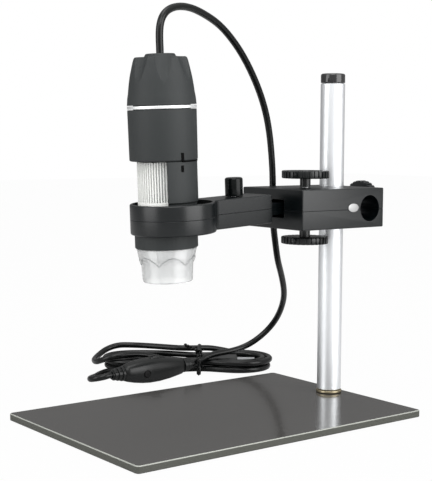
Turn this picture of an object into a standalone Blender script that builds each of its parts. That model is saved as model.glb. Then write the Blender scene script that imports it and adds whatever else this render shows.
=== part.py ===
"""Digital microscope on a weighted plate: post, split clamp, swinging arm with a ring,
microscope head with a focusing wheel, and its lead with an in-line controller, hank and plug.

Metres, +Z up. The origin is the centre of the plate's underside, +X runs along the plate's
front edge to the right and +Y to the back.
"""
import math

import bmesh
import bpy
from mathutils import Matrix, Vector

# Fits and cutting
GAP = 0.0003             # clearance where one piece seats on another
RUNNING_GAP = 0.0005     # clearance round pieces that turn or slide
OVERRUN = 0.002          # how far a cutter runs past what it cuts
ORIGIN = Vector((0, 0, 0))
UP = Vector((0, 0, 1))
CORNER_SHARE = 1 - math.sqrt(1 / 2)   # how far a quarter round's middle lies in from its corner

# Base plate and post
PLATE_LENGTH = 0.1694
PLATE_DEPTH = 0.1147
PLATE_THICKNESS = 0.0035
PLATE_CORNER = 0.0020
PLATE_EDGE = 0.0004
POST_X = 0.0759
POST_Y = 0.0009
POST_RADIUS = 0.00635
POST_TOP = 0.1722        # top of the cap above the standing surface
POST_CHAMFER = 0.0004
CAP_HEIGHT = 0.0048
CAP_ROUNDING = 0.0010
CAP_SPIGOT_RADIUS = 0.0040
CAP_SPIGOT_LENGTH = 0.0060
COLLAR_RADIUS = 0.0068
COLLAR_HEIGHT = 0.0012
POST_SCREW_RADIUS = 0.0025
POST_SCREW_DEPTH = 0.0120
POST_SCREW_HEAD_RADIUS = 0.0047
POST_SCREW_HEAD_HEIGHT = 0.0024
POST_SCREW_SOCKET = 0.0015

# Clamp block, placed from the post's axis
CLAMP_LEFT = 0.0454
CLAMP_RIGHT = 0.0099
CLAMP_FRONT = 0.0286
CLAMP_BACK = 0.0180
ARM_HEIGHT = 0.1056      # the arm's middle above the standing surface
BOTTOM_BELOW_ARM = 0.0121
SEAM_BELOW_ARM = 0.0027
TOP_ABOVE_ARM = 0.0079
BORE_BELOW_ARM = 0.0023
FLOOR_BELOW_ARM = 0.00655
ROOF_ABOVE_ARM = 0.0026
SIDE_SCREW_BELOW_ARM = 0.0016
CLAMP_BOTTOM = ARM_HEIGHT - BOTTOM_BELOW_ARM
CLAMP_SEAM = ARM_HEIGHT - SEAM_BELOW_ARM
CLAMP_TOP = ARM_HEIGHT + TOP_ABOVE_ARM
CLAMP_CORNER = 0.0007
CLAMP_EDGE = 0.0006
SEAM_CHAMFER = 0.0002
CROSS_BORE_HEIGHT = ARM_HEIGHT - BORE_BELOW_ARM
SLOT_HALF_WIDTH = 0.0093
SLOT_FLOOR = ARM_HEIGHT - FLOOR_BELOW_ARM
SLOT_ROOF = ARM_HEIGHT + ROOF_ABOVE_ARM
SLOT_END = 0.0066        # slot's inner end past the pivot
CASE_SCREW_INSET = 0.0054
CASE_SCREW_RADIUS = 0.0010
CASE_SCREW_HEAD_RADIUS = 0.0020
CASE_SCREW_HEAD_HEIGHT = 0.0014
CASE_SCREW_BITE = 0.0050

# Thumbscrews
PIVOT_X = -0.0232        # from the post's axis
PIVOT_Y = -0.0053
KNOB_RADIUS = 0.0121
KNOB_TEETH = 30
KNOB_TOOTH_DEPTH = 0.0005
KNOB_EDGE = 0.0006
KNOB_HUB_RADIUS = 0.00275
THUMBSCREW_RADIUS = 0.0020
THUMBSCREW_SEAT = 0.0022
TOP_KNOB_STAND_OFF = 0.00465
BOTTOM_KNOB_STAND_OFF = 0.00515
SIDE_KNOB_STAND_OFF = 0.0101
TOP_KNOB_FACE = CLAMP_TOP + TOP_KNOB_STAND_OFF
TOP_KNOB_THICKNESS = 0.00395
BOTTOM_KNOB_FACE = CLAMP_BOTTOM - BOTTOM_KNOB_STAND_OFF
BOTTOM_KNOB_THICKNESS = 0.00355
SIDE_KNOB_FACE = CLAMP_RIGHT + SIDE_KNOB_STAND_OFF
SIDE_KNOB_THICKNESS = 0.0042
SIDE_SCREW_HEIGHT = ARM_HEIGHT - SIDE_SCREW_BELOW_ARM

# Arm, in its own frame: origin on the pivot, the head lies along -X
ARM_SWING = math.radians(4.39)
ARM_DROOP = math.radians(2.67)
ARM_HALF_HEIGHT = 0.0070
ARM_HALF_WIDTH = 0.00894
ARM_SHOULDER = 0.0324
ARM_EDGE = 0.0007
ARM_FILLET = 0.0050
TONGUE_HALF_WIDTH = 0.0050
TONGUE_TOP = 0.0019
TONGUE_BOTTOM = -0.0037
TONGUE_HOLE_RADIUS = 0.0025
RING_DISTANCE = 0.0875
RING_RADIUS = 0.0199
RING_WALL = 0.0014
ARM_KNOB_RADIUS = 0.00435
ARM_KNOB_TOP = 0.0162
ARM_KNOB_EDGE = 0.0010
STUD_RADIUS = 0.0015
STUD_RISE = 0.0050
STUD_HEAD_RADIUS = 0.0028
STUD_HEAD_HEIGHT = 0.0016
ARM_SCREW_INSET = 0.0040  # from the shoulder, and from the ring's rim
ARM_SCREW_DISTANCES = (ARM_SHOULDER + ARM_SCREW_INSET, RING_DISTANCE - RING_RADIUS - ARM_SCREW_INSET)
ARM_KNOB_SHARE = 0.463    # of the way from the inner screw to the outer one
ARM_KNOB_DISTANCE = (ARM_SCREW_DISTANCES[0]
                     + ARM_KNOB_SHARE * (ARM_SCREW_DISTANCES[1] - ARM_SCREW_DISTANCES[0]))
PAD_WALL_GAP = 0.0021    # pad's top below the ring's rim
PAD_REACH = 0.0035       # pad's tips past the ring's centre line

# Microscope head, in its own frame: origin on the head's axis, level with the ring's middle
HEAD_SHIFT_X = -0.0032
HEAD_SHIFT_Y = 0.0015
BARREL_RADIUS = 0.0146
BARREL_BORE = 0.0130
BARREL_BOTTOM = -0.0133
SPINE_RADIUS = 0.01535
SPINE_FOOT = 0.0071
SPINE_START = 0.0080
SPINE_TOP = 0.0264
SPINE_ANGLE = math.radians(170)
SPINE_HEADING = math.radians(322.0)
NECK_RADIUS = 0.0139
NECK_TOP = 0.0330
LEDGE_RADIUS = 0.0092
LED_LEDGE_BOTTOM = -0.0046
WHEEL_LEDGE_TOP = 0.0056
SENSOR_LEDGE_TOP = 0.0282
LEDGE_THICKNESS = 0.0015
WHEEL_COLLAR_RADIUS = 0.0126
WHEEL_COLLAR_HEIGHT = 0.0020
WHEEL_RADIUS = 0.0124
WHEEL_TOOTH_DEPTH = 0.0006
WHEEL_TEETH = 60
WHEEL_TOP = 0.0262
WHEEL_BORE_GAP = 0.0010
LENS_TUBE_RADIUS = 0.0080
LENS_TUBE_BORE = 0.0056
LENS_TUBE_BOTTOM = -0.0075
LENS_TUBE_TOP = 0.0120
LENS_RADIUS = 0.0052
LENS_THICKNESS = 0.0026
LENS_LIFT = 0.0010
LENS_SHARES = ((0, 0), (0.5, 0.08), (1, 0.33), (1, 0.67), (0.5, 0.92), (0, 1))
LED_BOARD_THICKNESS = 0.0012
LED_COUNT = 8
LED_RADIUS = 0.0010
LED_CIRCLE = 0.0102
LED_HEIGHT = 0.0016
SENSOR_BOARD_THICKNESS = 0.0014
SENSOR_WIDTH = 0.0080
SENSOR_THICKNESS = 0.0012
BODY_BOTTOM = 0.0267
BODY_TOP = 0.0499
BODY_RADIUS_TOP = 0.01586
BODY_RADIUS_BOTTOM = 0.0157
BODY_ROUNDING = 0.0007
BODY_BORE = 0.0142
RING_BAND_BOTTOM = 0.0502
RING_BAND_TOP = 0.0516
RING_BAND_RADIUS = 0.0159
CAP_SKIRT_RADIUS = 0.0131
CAP_SKIRT_DEPTH = 0.0060
CAP_SKIRT_WALL = 0.0016
CAP_HOLLOW_TOP = 0.0600
HEAD_TOP = 0.0750
HEAD_BOSS_RADIUS = 0.0070
HEAD_CAP_SHARES = ((1.000, 0.0), (0.985, 0.13), (0.958, 0.24), (0.937, 0.36), (0.893, 0.56),
                   (0.849, 0.70), (0.808, 0.83), (0.789, 0.90), (0.765, 0.927), (0.735, 0.934))
FLUTE_COUNT = 7
FLUTE_RADIUS = 0.0060
FLUTE_DEPTH = 0.0018
FLUTE_FADE = 0.0645      # height where a flute runs out
FLUTE_HEADING = math.radians(237.0)
HOOD_TOP_RADIUS = 0.0140
HOOD_SHOULDER_RADIUS = 0.0133
HOOD_STEP_RADIUS = 0.0123
HOOD_END_RADIUS = 0.0116
HOOD_SHOULDER = -0.0178
HOOD_STEP = -0.0200
HOOD_BOTTOM = -0.0291
HOOD_WALL = 0.0011
HOOD_SLEEVE_RADIUS = 0.0127
HOOD_SLEEVE_TOP = -0.0068

# Lead and everything on it
CORD_RADIUS = 0.00175
CORD_END_RUN = 0.0035
HANK_X = 0.0600
HANK_Y = 0.1100
HANK_YAW = math.radians(-37.2)
HANK_TURNS = 3.5
HANK_HALF_RUN = 0.0327
HANK_HALF_WIDTH = 0.01925
HANK_PITCH = 0.0044
HANK_LAYER = 0.00395
HANK_REST = 0.00255      # height of the lowest turns' middle
HANK_WAIST = 0.0082
HANK_WAIST_DRAW = 0.0070
HANK_WAIST_REACH = 0.0240
HANK_POINTS = 24         # points in one loop
HANK_RUN_SHARE = 0.27
TIE_WIDTH = 0.0020
TIE_THICKNESS = 0.0005
TIE_TOP = 0.0131
TIE_HALF_WIDTH = 0.0191
TIE_MIDDLE = -0.0043
TIE_CORNER = 0.0030
TIE_TAIL_LENGTH = 0.0090
TIE_TAIL_RADIUS = 0.0006
TIE_TAIL_SHARES = (-0.90, 0.25)  # of its length, along the hank and up
TIE_TAIL_SIDE_SHARE = -0.6       # of the tie's half-width

CONTROLLER_X = 0.0222
CONTROLLER_Y = 0.0893
CONTROLLER_LENGTH = 0.0400
CONTROLLER_HEIGHT = 0.0143
CONTROLLER_DEPTH = 0.0120
CONTROLLER_FLOOR = 0.0002
CONTROLLER_SHARES = ((0.0, 0.52, 0.60), (0.015, 0.62, 0.70), (0.06, 0.70, 0.80), (0.16, 0.83, 0.92),
                     (0.30, 0.95, 1.0), (0.42, 1.0, 1.0), (0.58, 0.98, 1.0), (0.74, 0.88, 0.95),
                     (0.88, 0.74, 0.84), (0.96, 0.66, 0.74), (0.988, 0.58, 0.66), (1.0, 0.48, 0.56))
CONTROLLER_SIDES = 20
DIMMER_PLACE = 0.0015
DIMMER_RADIUS = 0.0070
DIMMER_PROUD = 0.0012
DIMMER_THICKNESS = 0.0040
DIMMER_TEETH = 24
DIMMER_TOOTH_DEPTH = 0.0004
DIMMER_PIN_RADIUS = 0.0010
DIMMER_PIN_LENGTH = 0.0080
BUTTON_PLACE = -0.0076
BUTTON_DROP = 0.0009
BUTTON_RADIUS = 0.0019
BUTTON_DEPTH = 0.0022
BUTTON_TRAVEL = 0.0005
BUTTON_PROUD = 0.0003
BUTTON_EDGE = 0.0003
BOARD_LENGTH = 0.0070
BOARD_HEIGHT = 0.0060
BOARD_THICKNESS = 0.0010
BOARD_PLACE = 0.0134
RELIEF_LEFT_LENGTH = 0.0074
RELIEF_RIGHT_LENGTH = 0.0055
RELIEF_ROOT_RADIUS = 0.0041
RELIEF_TIP_RADIUS = 0.0027
RELIEF_RIB_PITCH = 0.0024
RELIEF_RIB_DEPTH = 0.0007

PLUG_PLACE = 0.0086      # tip of the plug's tail along the hank
PLUG_OFFSET = -0.0005
PLUG_TAIL_LENGTH = 0.0084
PLUG_TAIL_RADIUS = 0.0026
PLUG_TAIL_ROOT_RADIUS = 0.0032
PLUG_LENGTH = 0.0140
PLUG_WIDTH = 0.0145
PLUG_THICKNESS = 0.0074
PLUG_SHOULDER = 0.0040
PLUG_EDGE = 0.0010
PLUG_FLOOR = 0.0002
SHELL_LENGTH = 0.0105
SHELL_WIDTH = 0.0120
SHELL_THICKNESS = 0.0045
SHELL_WALL = 0.0003
SHELL_SEAT = 0.0040
CONTACT_THICKNESS = 0.0018

# Routes of the free stretches, hand-chosen, in the part's frame
LEAD_ARC_ROUTE = (
    (-0.0422, -0.0105, 0.18730), (-0.0406, -0.0099, 0.19320), (-0.0348, -0.0076, 0.19720),
    (-0.0268, -0.0045, 0.19920), (-0.0170, -0.0007, 0.19940), (-0.0063, 0.0034, 0.19750),
    (0.0064, 0.0083, 0.19380), (0.0189, 0.0132, 0.18710), (0.0291, 0.0171, 0.17940),
    (0.0385, 0.0207, 0.16990), (0.0464, 0.0238, 0.15990), (0.0519, 0.0259, 0.14970),
    (0.0554, 0.0273, 0.13910), (0.0572, 0.0279, 0.12850), (0.0585, 0.0284, 0.11830))
LEAD_SLACK_ROUTE = (
    (0.0593, 0.0292, 0.10550), (0.0603, 0.0301, 0.09820), (0.0618, 0.0313, 0.09000),
    (0.0660, 0.0343, 0.08030), (0.0708, 0.0382, 0.07140), (0.0804, 0.0460, 0.06160),
    (0.0893, 0.0540, 0.05160), (0.0950, 0.0610, 0.04450), (0.0982, 0.0670, 0.03810),
    (0.1003, 0.0730, 0.03190), (0.1004, 0.0790, 0.02560))
LEAD_LOW_ROUTE = (
    (0.0975, 0.0840, 0.01980), (0.0925, 0.0875, 0.01520), (0.0850, 0.0900, 0.01220),
    (0.0755, 0.0906, 0.01130), (0.0665, 0.0910, 0.01120), (0.0605, 0.0906, 0.01000),
    (0.0554, 0.0902, 0.00820))
CONTROLLER_LEAD_ROUTE = (
    (-0.0099, 0.0898, 0.00680), (-0.0134, 0.0926, 0.00590), (-0.0137, 0.0977, 0.00480),
    (-0.0098, 0.1040, 0.00370), (-0.0030, 0.1105, 0.00270), (0.0030, 0.1155, 0.00255),
    (0.0095, 0.1192, 0.00255), (0.0150, 0.1198, 0.00255))
# Last stretch, in the hank's frame: over the hank, round its left end and down its middle
PLUG_LEAD_ROUTE = (
    (0.0220, 0.0178, 0.00820), (0.0140, 0.0143, 0.01000), (0.0050, 0.0107, 0.01050),
    (-0.0040, 0.0110, 0.01050), (-0.0140, 0.0145, 0.01050), (-0.0240, 0.0180, 0.01050),
    (-0.0330, 0.0200, 0.01050), (-0.0420, 0.0195, 0.01050), (-0.0490, 0.0155, 0.00880),
    (-0.0535, 0.0080, 0.00620), (-0.0550, -0.0005, 0.00520), (-0.0530, -0.0085, 0.00560),
    (-0.0490, -0.0140, 0.00760), (-0.0430, -0.0160, 0.00990), (-0.0355, -0.0140, 0.01060),
    (-0.0280, -0.0105, 0.01040), (-0.0200, -0.0075, 0.00880), (-0.0120, -0.0050, 0.00640),
    (-0.0040, -0.0025, 0.00440), (0.0020, -0.0009, 0.00390))
ARC_POINTS = 24
SLACK_POINTS = 13
LOW_POINTS = 13
CONTROLLER_LEAD_POINTS = 13
PLUG_LEAD_POINTS = 22

# Finishes: base colour, roughness, metallic
FINISHES = {
    "plate_paint": ((0.10, 0.10, 0.11), 0.35, 0.2),
    "polished_metal": ((0.80, 0.80, 0.81), 0.18, 1.0),
    "brass": ((0.62, 0.47, 0.22), 0.30, 1.0),
    "steel": ((0.55, 0.55, 0.56), 0.35, 1.0),
    "black_plastic": ((0.025, 0.028, 0.032), 0.38, 0.0),
    "gloss_black": ((0.012, 0.012, 0.014), 0.15, 0.0),
    "grey_rubber": ((0.065, 0.070, 0.070), 0.60, 0.0),
    "cord_jacket": ((0.030, 0.034, 0.033), 0.42, 0.0),
    "white_translucent": ((0.80, 0.82, 0.80), 0.35, 0.0),
    "clear_plastic": ((0.85, 0.87, 0.88), 0.08, 0.0),
    "lens_glass": ((0.30, 0.34, 0.40), 0.05, 0.0),
    "circuit_board": ((0.05, 0.22, 0.10), 0.50, 0.0),
    "chip": ((0.04, 0.04, 0.05), 0.40, 0.0),
}


def clear_scene():
    for thing in list(bpy.data.objects):
        bpy.data.objects.remove(thing, do_unlink=True)


def finish(name):
    """The Principled material of one finish."""
    found = bpy.data.materials.get(name)
    if found:
        return found
    colour, roughness, metallic = FINISHES[name]
    made = bpy.data.materials.new(name)
    made.use_nodes = True
    shader = made.node_tree.nodes["Principled BSDF"]
    shader.inputs["Base Color"].default_value = (*colour, 1)
    shader.inputs["Roughness"].default_value = roughness
    shader.inputs["Metallic"].default_value = metallic
    return made


def frame(name, location, parent=None, yaw=0, pitch=0):
    """An empty that carries pieces: turned about Z by yaw after a turn about Y by pitch."""
    empty = bpy.data.objects.new(name, None)
    bpy.context.scene.collection.objects.link(empty)
    empty.location = location
    empty.rotation_euler = (0, pitch, yaw)
    empty.parent = parent
    return empty


def piece(name, shape, paint, parent=None, hidden=False):
    """Turns a bmesh into a named object with outward faces."""
    bmesh.ops.recalc_face_normals(shape, faces=shape.faces)
    mesh = bpy.data.meshes.new(name)
    shape.to_mesh(mesh)
    shape.free()
    mesh.shade_smooth()
    mesh.set_sharp_from_angle(angle=math.radians(35))
    made = bpy.data.objects.new(name, mesh)
    bpy.context.scene.collection.objects.link(made)
    made.parent = parent
    if paint:
        made.data.materials.append(finish(paint))
    if hidden:
        made.hide_render = True
        made.display_type = 'WIRE'
    return made


def combine(target, shape, operation='DIFFERENCE'):
    """Cuts a bmesh from a piece, or joins it on, with an exact Boolean."""
    label = f"{target.name}_{operation.lower()}_{len(target.modifiers)}"
    tool = piece(label, shape, None, target.parent, hidden=True)
    step = target.modifiers.new(label, 'BOOLEAN')
    step.operation = operation
    step.solver = 'EXACT'
    step.object = tool
    return target


def rod(shape, radius, start, end, sides=24, end_radius=None):
    """A cylinder or cone between two points."""
    start, end = Vector(start), Vector(end)
    along = end - start
    turn = UP.rotation_difference(along).to_matrix().to_4x4()
    bmesh.ops.create_cone(
        shape, cap_ends=True, segments=sides, radius1=radius,
        radius2=radius if end_radius is None else end_radius, depth=along.length,
        matrix=Matrix.Translation((start + end) / 2) @ turn)
    return shape


def rod_shape(*sizes, **more):
    return rod(bmesh.new(), *sizes, **more)


def block(low, high, shape=None):
    """A box between two corners."""
    shape = shape or bmesh.new()
    low, high = Vector(low), Vector(high)
    size = high - low
    bmesh.ops.create_cube(
        shape, size=1, matrix=Matrix.Translation((low + high) / 2) @ Matrix.Diagonal((*size, 1)))
    return shape


def turned(profile, sides):
    """A profile of (radius, height) pairs turned round Z; pairs on the axis close it."""
    shape = bmesh.new()
    corners = [shape.verts.new((radius, 0, height)) for radius, height in profile]
    edges = []
    for first, second in zip(corners, corners[1:] + corners[:1]):
        if first.co.x > 0 or second.co.x > 0:
            edges.append(shape.edges.new((first, second)))
    bmesh.ops.spin(shape, geom=corners + edges, axis=UP, cent=ORIGIN, steps=sides,
                   angle=math.tau, use_merge=True, use_duplicate=False)
    bmesh.ops.remove_doubles(shape, verts=shape.verts, dist=GAP / 100)
    return shape


def skin(outlines):
    """Closes a stack of outlines with equal counts into one solid."""
    shape = bmesh.new()
    loops = [[shape.verts.new(point) for point in outline] for outline in outlines]
    for lower, upper in zip(loops, loops[1:]):
        for index in range(len(lower)):
            after = (index + 1) % len(lower)
            shape.faces.new((lower[index], lower[after], upper[after], upper[index]))
    shape.faces.new(reversed(loops[0]))
    shape.faces.new(loops[-1])
    return shape


def bevel_edges(shape, edges, width, segments):
    bmesh.ops.bevel(shape, geom=edges, offset=width, offset_type='OFFSET', affect='EDGES',
                    segments=segments, profile=0.5, material=-1)


def upright(edge):
    first, second = (corner.co for corner in edge.verts)
    return abs(first.z - second.z) > max(abs(first.x - second.x), abs(first.y - second.y))


def at_height(edge, height):
    return all(abs(corner.co.z - height) < GAP / 100 for corner in edge.verts)


def toothed(radius, depth, teeth, height):
    """A ring of points whose radius steps in and out."""
    count = 2 * teeth
    points = []
    for index in range(count):
        angle = math.tau * index / count
        reach = radius - depth * (index % 2)
        points.append((reach * math.cos(angle), reach * math.sin(angle), height))
    return points


def toothed_disc(radius, depth, teeth, low, high, edge):
    """A wheel with a serrated rim and both edges bevelled."""
    return skin([toothed(radius - edge, depth, teeth, low),
                 toothed(radius, depth, teeth, low + edge),
                 toothed(radius, depth, teeth, high - edge),
                 toothed(radius - edge, depth, teeth, high)])


def smooth_points(route, count):
    """Points on a smooth curve through a route, evenly spaced between two straight ends.

    The first and last stretches of the route stay straight, so a cord's ends are square.
    """
    route = [Vector(point) for point in route]
    fine = []
    steps = 16
    for index in range(1, len(route) - 2):
        before, start, end, after = route[index - 1:index + 3]
        for step in range(steps):
            t = step / steps
            fine.append(0.5 * (2 * start + (end - before) * t
                               + (2 * before - 5 * start + 4 * end - after) * t ** 2
                               + (3 * start - before - 3 * end + after) * t ** 3))
    fine.append(route[-2])
    travelled = [0]
    for first, second in zip(fine, fine[1:]):
        travelled.append(travelled[-1] + (second - first).length)
    points = [route[0]]
    inner = count - 2
    for index in range(inner):
        goal = travelled[-1] * index / (inner - 1)
        place = 0
        while place < len(fine) - 2 and travelled[place + 1] < goal:
            place += 1
        part = (goal - travelled[place]) / (travelled[place + 1] - travelled[place])
        points.append(fine[place].lerp(fine[place + 1], part))
    return points + [route[-1]]


def square_ends(before, after):
    """Straight ends of two stretches that meet face to face, in line with both routes."""
    end = Vector(before[-1])
    along = (Vector(after[0]) - end).normalized()
    return ([end - along * CORD_RADIUS, end],
            [end + along * GAP, end + along * (GAP + CORD_RADIUS)])


def path_length(points):
    return sum((second - first).length for first, second in zip(points, points[1:]))


def cord(name, points, parent=None, resolution=2):
    """A tube along points with flat ends."""
    curve = bpy.data.curves.new(name, 'CURVE')
    curve.dimensions = '3D'
    curve.bevel_depth = CORD_RADIUS
    curve.bevel_resolution = resolution
    curve.use_fill_caps = True
    line = curve.splines.new('POLY')
    line.points.add(len(points) - 1)
    for target, point in zip(line.points, points):
        target.co = (*point, 1)
    made = bpy.data.objects.new(name, curve)
    bpy.context.scene.collection.objects.link(made)
    made.parent = parent
    curve.materials.append(finish("cord_jacket"))
    return made


def make_base():
    """Plate, collar washer, post with its foot screw, and the post's cap."""
    shape = block((-PLATE_LENGTH / 2, -PLATE_DEPTH / 2, 0),
                  (PLATE_LENGTH / 2, PLATE_DEPTH / 2, PLATE_THICKNESS))
    bevel_edges(shape, [edge for edge in shape.edges if upright(edge)], PLATE_CORNER, 3)
    rims = [edge for edge in shape.edges if at_height(edge, 0) or at_height(edge, PLATE_THICKNESS)]
    bevel_edges(shape, rims, PLATE_EDGE, 1)
    plate = piece("base_plate", shape, "plate_paint")
    foot = frame("post_foot", (POST_X, POST_Y, 0))
    hole = POST_SCREW_RADIUS + GAP
    sink = POST_SCREW_HEAD_RADIUS + GAP
    cutter = turned([(0, -OVERRUN), (sink, -OVERRUN), (sink, GAP),
                     (hole, GAP + POST_SCREW_HEAD_HEIGHT), (hole, PLATE_THICKNESS + OVERRUN),
                     (0, PLATE_THICKNESS + OVERRUN)], 32)
    bmesh.ops.translate(cutter, verts=cutter.verts, vec=foot.location)
    combine(plate, cutter)

    collar_low = PLATE_THICKNESS + GAP
    collar_high = collar_low + COLLAR_HEIGHT
    piece("post_collar", turned([(hole, collar_low), (COLLAR_RADIUS, collar_low),
                                 (COLLAR_RADIUS, collar_high), (hole, collar_high)], 24),
          "brass", foot)

    post_low = collar_high + GAP
    screw_tip = post_low + POST_SCREW_DEPTH
    screw = piece("post_screw", turned([
        (0, GAP), (POST_SCREW_HEAD_RADIUS, GAP),
        (POST_SCREW_RADIUS, GAP + POST_SCREW_HEAD_HEIGHT), (POST_SCREW_RADIUS, screw_tip),
        (0, screw_tip)], 24), "steel", foot)
    combine(screw, rod_shape(POST_SCREW_SOCKET, (0, 0, -OVERRUN), (0, 0, GAP + POST_SCREW_SOCKET),
                             sides=6))

    post_high = POST_TOP - CAP_HEIGHT - GAP
    bore = CAP_SPIGOT_RADIUS + GAP
    piece("post", turned([
        (0, screw_tip + GAP), (hole, screw_tip + GAP), (hole, post_low),
        (POST_RADIUS - POST_CHAMFER, post_low), (POST_RADIUS, post_low + POST_CHAMFER),
        (POST_RADIUS, post_high - POST_CHAMFER), (POST_RADIUS - POST_CHAMFER, post_high),
        (bore, post_high), (bore, post_high - CAP_SPIGOT_LENGTH - GAP),
        (0, post_high - CAP_SPIGOT_LENGTH - GAP)], 40), "polished_metal", foot)
    cap_low = POST_TOP - CAP_HEIGHT
    piece("post_cap", turned([
        (0, cap_low - CAP_SPIGOT_LENGTH), (CAP_SPIGOT_RADIUS, cap_low - CAP_SPIGOT_LENGTH),
        (CAP_SPIGOT_RADIUS, cap_low), (POST_RADIUS, cap_low), (POST_RADIUS, POST_TOP - CAP_ROUNDING),
        (POST_RADIUS - CAP_ROUNDING * CORNER_SHARE, POST_TOP - CAP_ROUNDING * CORNER_SHARE),
        (POST_RADIUS - CAP_ROUNDING, POST_TOP), (0, POST_TOP)], 32), "gloss_black", foot)
    return foot


def clamp_half(name, low, high, outer_low):
    """One shell of the clamp block; outer_low tells which end is its outer face."""
    shape = block((-CLAMP_LEFT, -CLAMP_FRONT, low), (CLAMP_RIGHT, CLAMP_BACK, high))
    bevel_edges(shape, [edge for edge in shape.edges if upright(edge)], CLAMP_CORNER, 2)
    outer, seam = (low, high) if outer_low else (high, low)
    bevel_edges(shape, [edge for edge in shape.edges if at_height(edge, outer)], CLAMP_EDGE, 2)
    bevel_edges(shape, [edge for edge in shape.edges if at_height(edge, seam)], SEAM_CHAMFER, 1)
    return piece(name, shape, "black_plastic", bpy.data.objects["post_foot"])


def screw_profile(radius, head_radius, head_height, low, tip):
    return [(0, low), (head_radius, low), (head_radius, low + head_height), (radius, low + head_height),
            (radius, tip), (0, tip)]


def like_pieces(name, places, profile, parent, paint="steel"):
    """One turned piece at each place, numbered from 1."""
    for number, (x, y) in enumerate(places, 1):
        piece(f"{name}_{number}", turned_at(x, y, profile), paint, parent)


def make_clamp(foot):
    """Two shells with crossing bores and the arm's slot, held by four screws."""
    lower = clamp_half("clamp_lower", CLAMP_BOTTOM, CLAMP_SEAM - GAP / 2, True)
    upper = clamp_half("clamp_upper", CLAMP_SEAM + GAP / 2, CLAMP_TOP, False)
    bore = POST_RADIUS + GAP
    screw_hole = THUMBSCREW_RADIUS + GAP
    xs = (-CLAMP_LEFT + CASE_SCREW_INSET, -POST_RADIUS - CASE_SCREW_INSET)
    ys = (-CLAMP_FRONT + CASE_SCREW_INSET, CLAMP_BACK - CASE_SCREW_INSET)
    places = [(x, y) for x in xs for y in ys]
    tip = CLAMP_SEAM + CASE_SCREW_BITE
    head = CLAMP_BOTTOM + GAP
    for shell in (lower, upper):
        combine(shell, rod_shape(bore, (0, 0, CLAMP_BOTTOM - OVERRUN), (0, 0, CLAMP_TOP + OVERRUN), 40))
        combine(shell, rod_shape(bore, (0, -CLAMP_FRONT - OVERRUN, CROSS_BORE_HEIGHT),
                                 (0, CLAMP_BACK + OVERRUN, CROSS_BORE_HEIGHT), 40))
        combine(shell, block((-CLAMP_LEFT - OVERRUN, PIVOT_Y - SLOT_HALF_WIDTH, SLOT_FLOOR),
                             (PIVOT_X + SLOT_END, PIVOT_Y + SLOT_HALF_WIDTH, SLOT_ROOF)))
        combine(shell, rod_shape(screw_hole, (PIVOT_X, PIVOT_Y, CLAMP_BOTTOM - OVERRUN),
                                 (PIVOT_X, PIVOT_Y, CLAMP_TOP + OVERRUN), 20))
        combine(shell, rod_shape(screw_hole, (0, 0, SIDE_SCREW_HEIGHT),
                                 (CLAMP_RIGHT + OVERRUN, 0, SIDE_SCREW_HEIGHT), 20))
    for x, y in places:
        combine(lower, turned_at(x, y, screw_profile(
            CASE_SCREW_RADIUS + GAP, CASE_SCREW_HEAD_RADIUS + GAP, CASE_SCREW_HEAD_HEIGHT + 2 * GAP + OVERRUN,
            CLAMP_BOTTOM - OVERRUN, CLAMP_SEAM + OVERRUN)))
        combine(upper, turned_at(x, y, [
            (0, CLAMP_SEAM - OVERRUN), (CASE_SCREW_RADIUS + GAP, CLAMP_SEAM - OVERRUN),
            (CASE_SCREW_RADIUS + GAP, tip + GAP), (0, tip + GAP)]))
    like_pieces("clamp_screw", places, screw_profile(
        CASE_SCREW_RADIUS, CASE_SCREW_HEAD_RADIUS, CASE_SCREW_HEAD_HEIGHT, head, tip), foot)


def turned_at(x, y, profile, sides=12):
    shape = turned(profile, sides)
    bmesh.ops.translate(shape, verts=shape.verts, vec=(x, y, 0))
    return shape


def thumbscrew(name, holder, thickness, hub_length, screw_length):
    """A serrated knob on a hub, and the screw fixed in it, along its holder's +Z."""
    knob = piece(name, toothed_disc(KNOB_RADIUS, KNOB_TOOTH_DEPTH, KNOB_TEETH, 0, thickness, KNOB_EDGE),
                 "black_plastic", holder)
    combine(knob, rod_shape(KNOB_HUB_RADIUS, (0, 0, -hub_length), (0, 0, KNOB_EDGE)), 'UNION')
    combine(knob, rod_shape(THUMBSCREW_RADIUS + GAP, (0, 0, -hub_length - OVERRUN),
                            (0, 0, THUMBSCREW_SEAT + GAP), 20))
    piece(f"{name}_screw", rod_shape(THUMBSCREW_RADIUS, (0, 0, -screw_length), (0, 0, THUMBSCREW_SEAT), 20),
          "steel", holder)


def make_thumbscrews(foot):
    """Top and bottom screws on the arm's pivot, and the side screw that grips the post."""
    top = frame("top_knob_axis", (PIVOT_X, PIVOT_Y, TOP_KNOB_FACE), foot)
    thumbscrew("top_knob", top, TOP_KNOB_THICKNESS, TOP_KNOB_FACE - CLAMP_TOP - GAP,
               TOP_KNOB_FACE - ARM_HEIGHT - GAP)
    bottom = frame("bottom_knob_axis", (PIVOT_X, PIVOT_Y, BOTTOM_KNOB_FACE), foot, pitch=math.pi)
    thumbscrew("bottom_knob", bottom, BOTTOM_KNOB_THICKNESS, CLAMP_BOTTOM - GAP - BOTTOM_KNOB_FACE,
               ARM_HEIGHT - GAP - BOTTOM_KNOB_FACE)
    side = frame("side_knob_axis", (SIDE_KNOB_FACE, 0, SIDE_SCREW_HEIGHT), foot, pitch=math.pi / 2)
    thumbscrew("side_knob", side, SIDE_KNOB_THICKNESS, SIDE_KNOB_FACE - CLAMP_RIGHT - GAP,
               SIDE_KNOB_FACE - POST_RADIUS - GAP)


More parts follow.
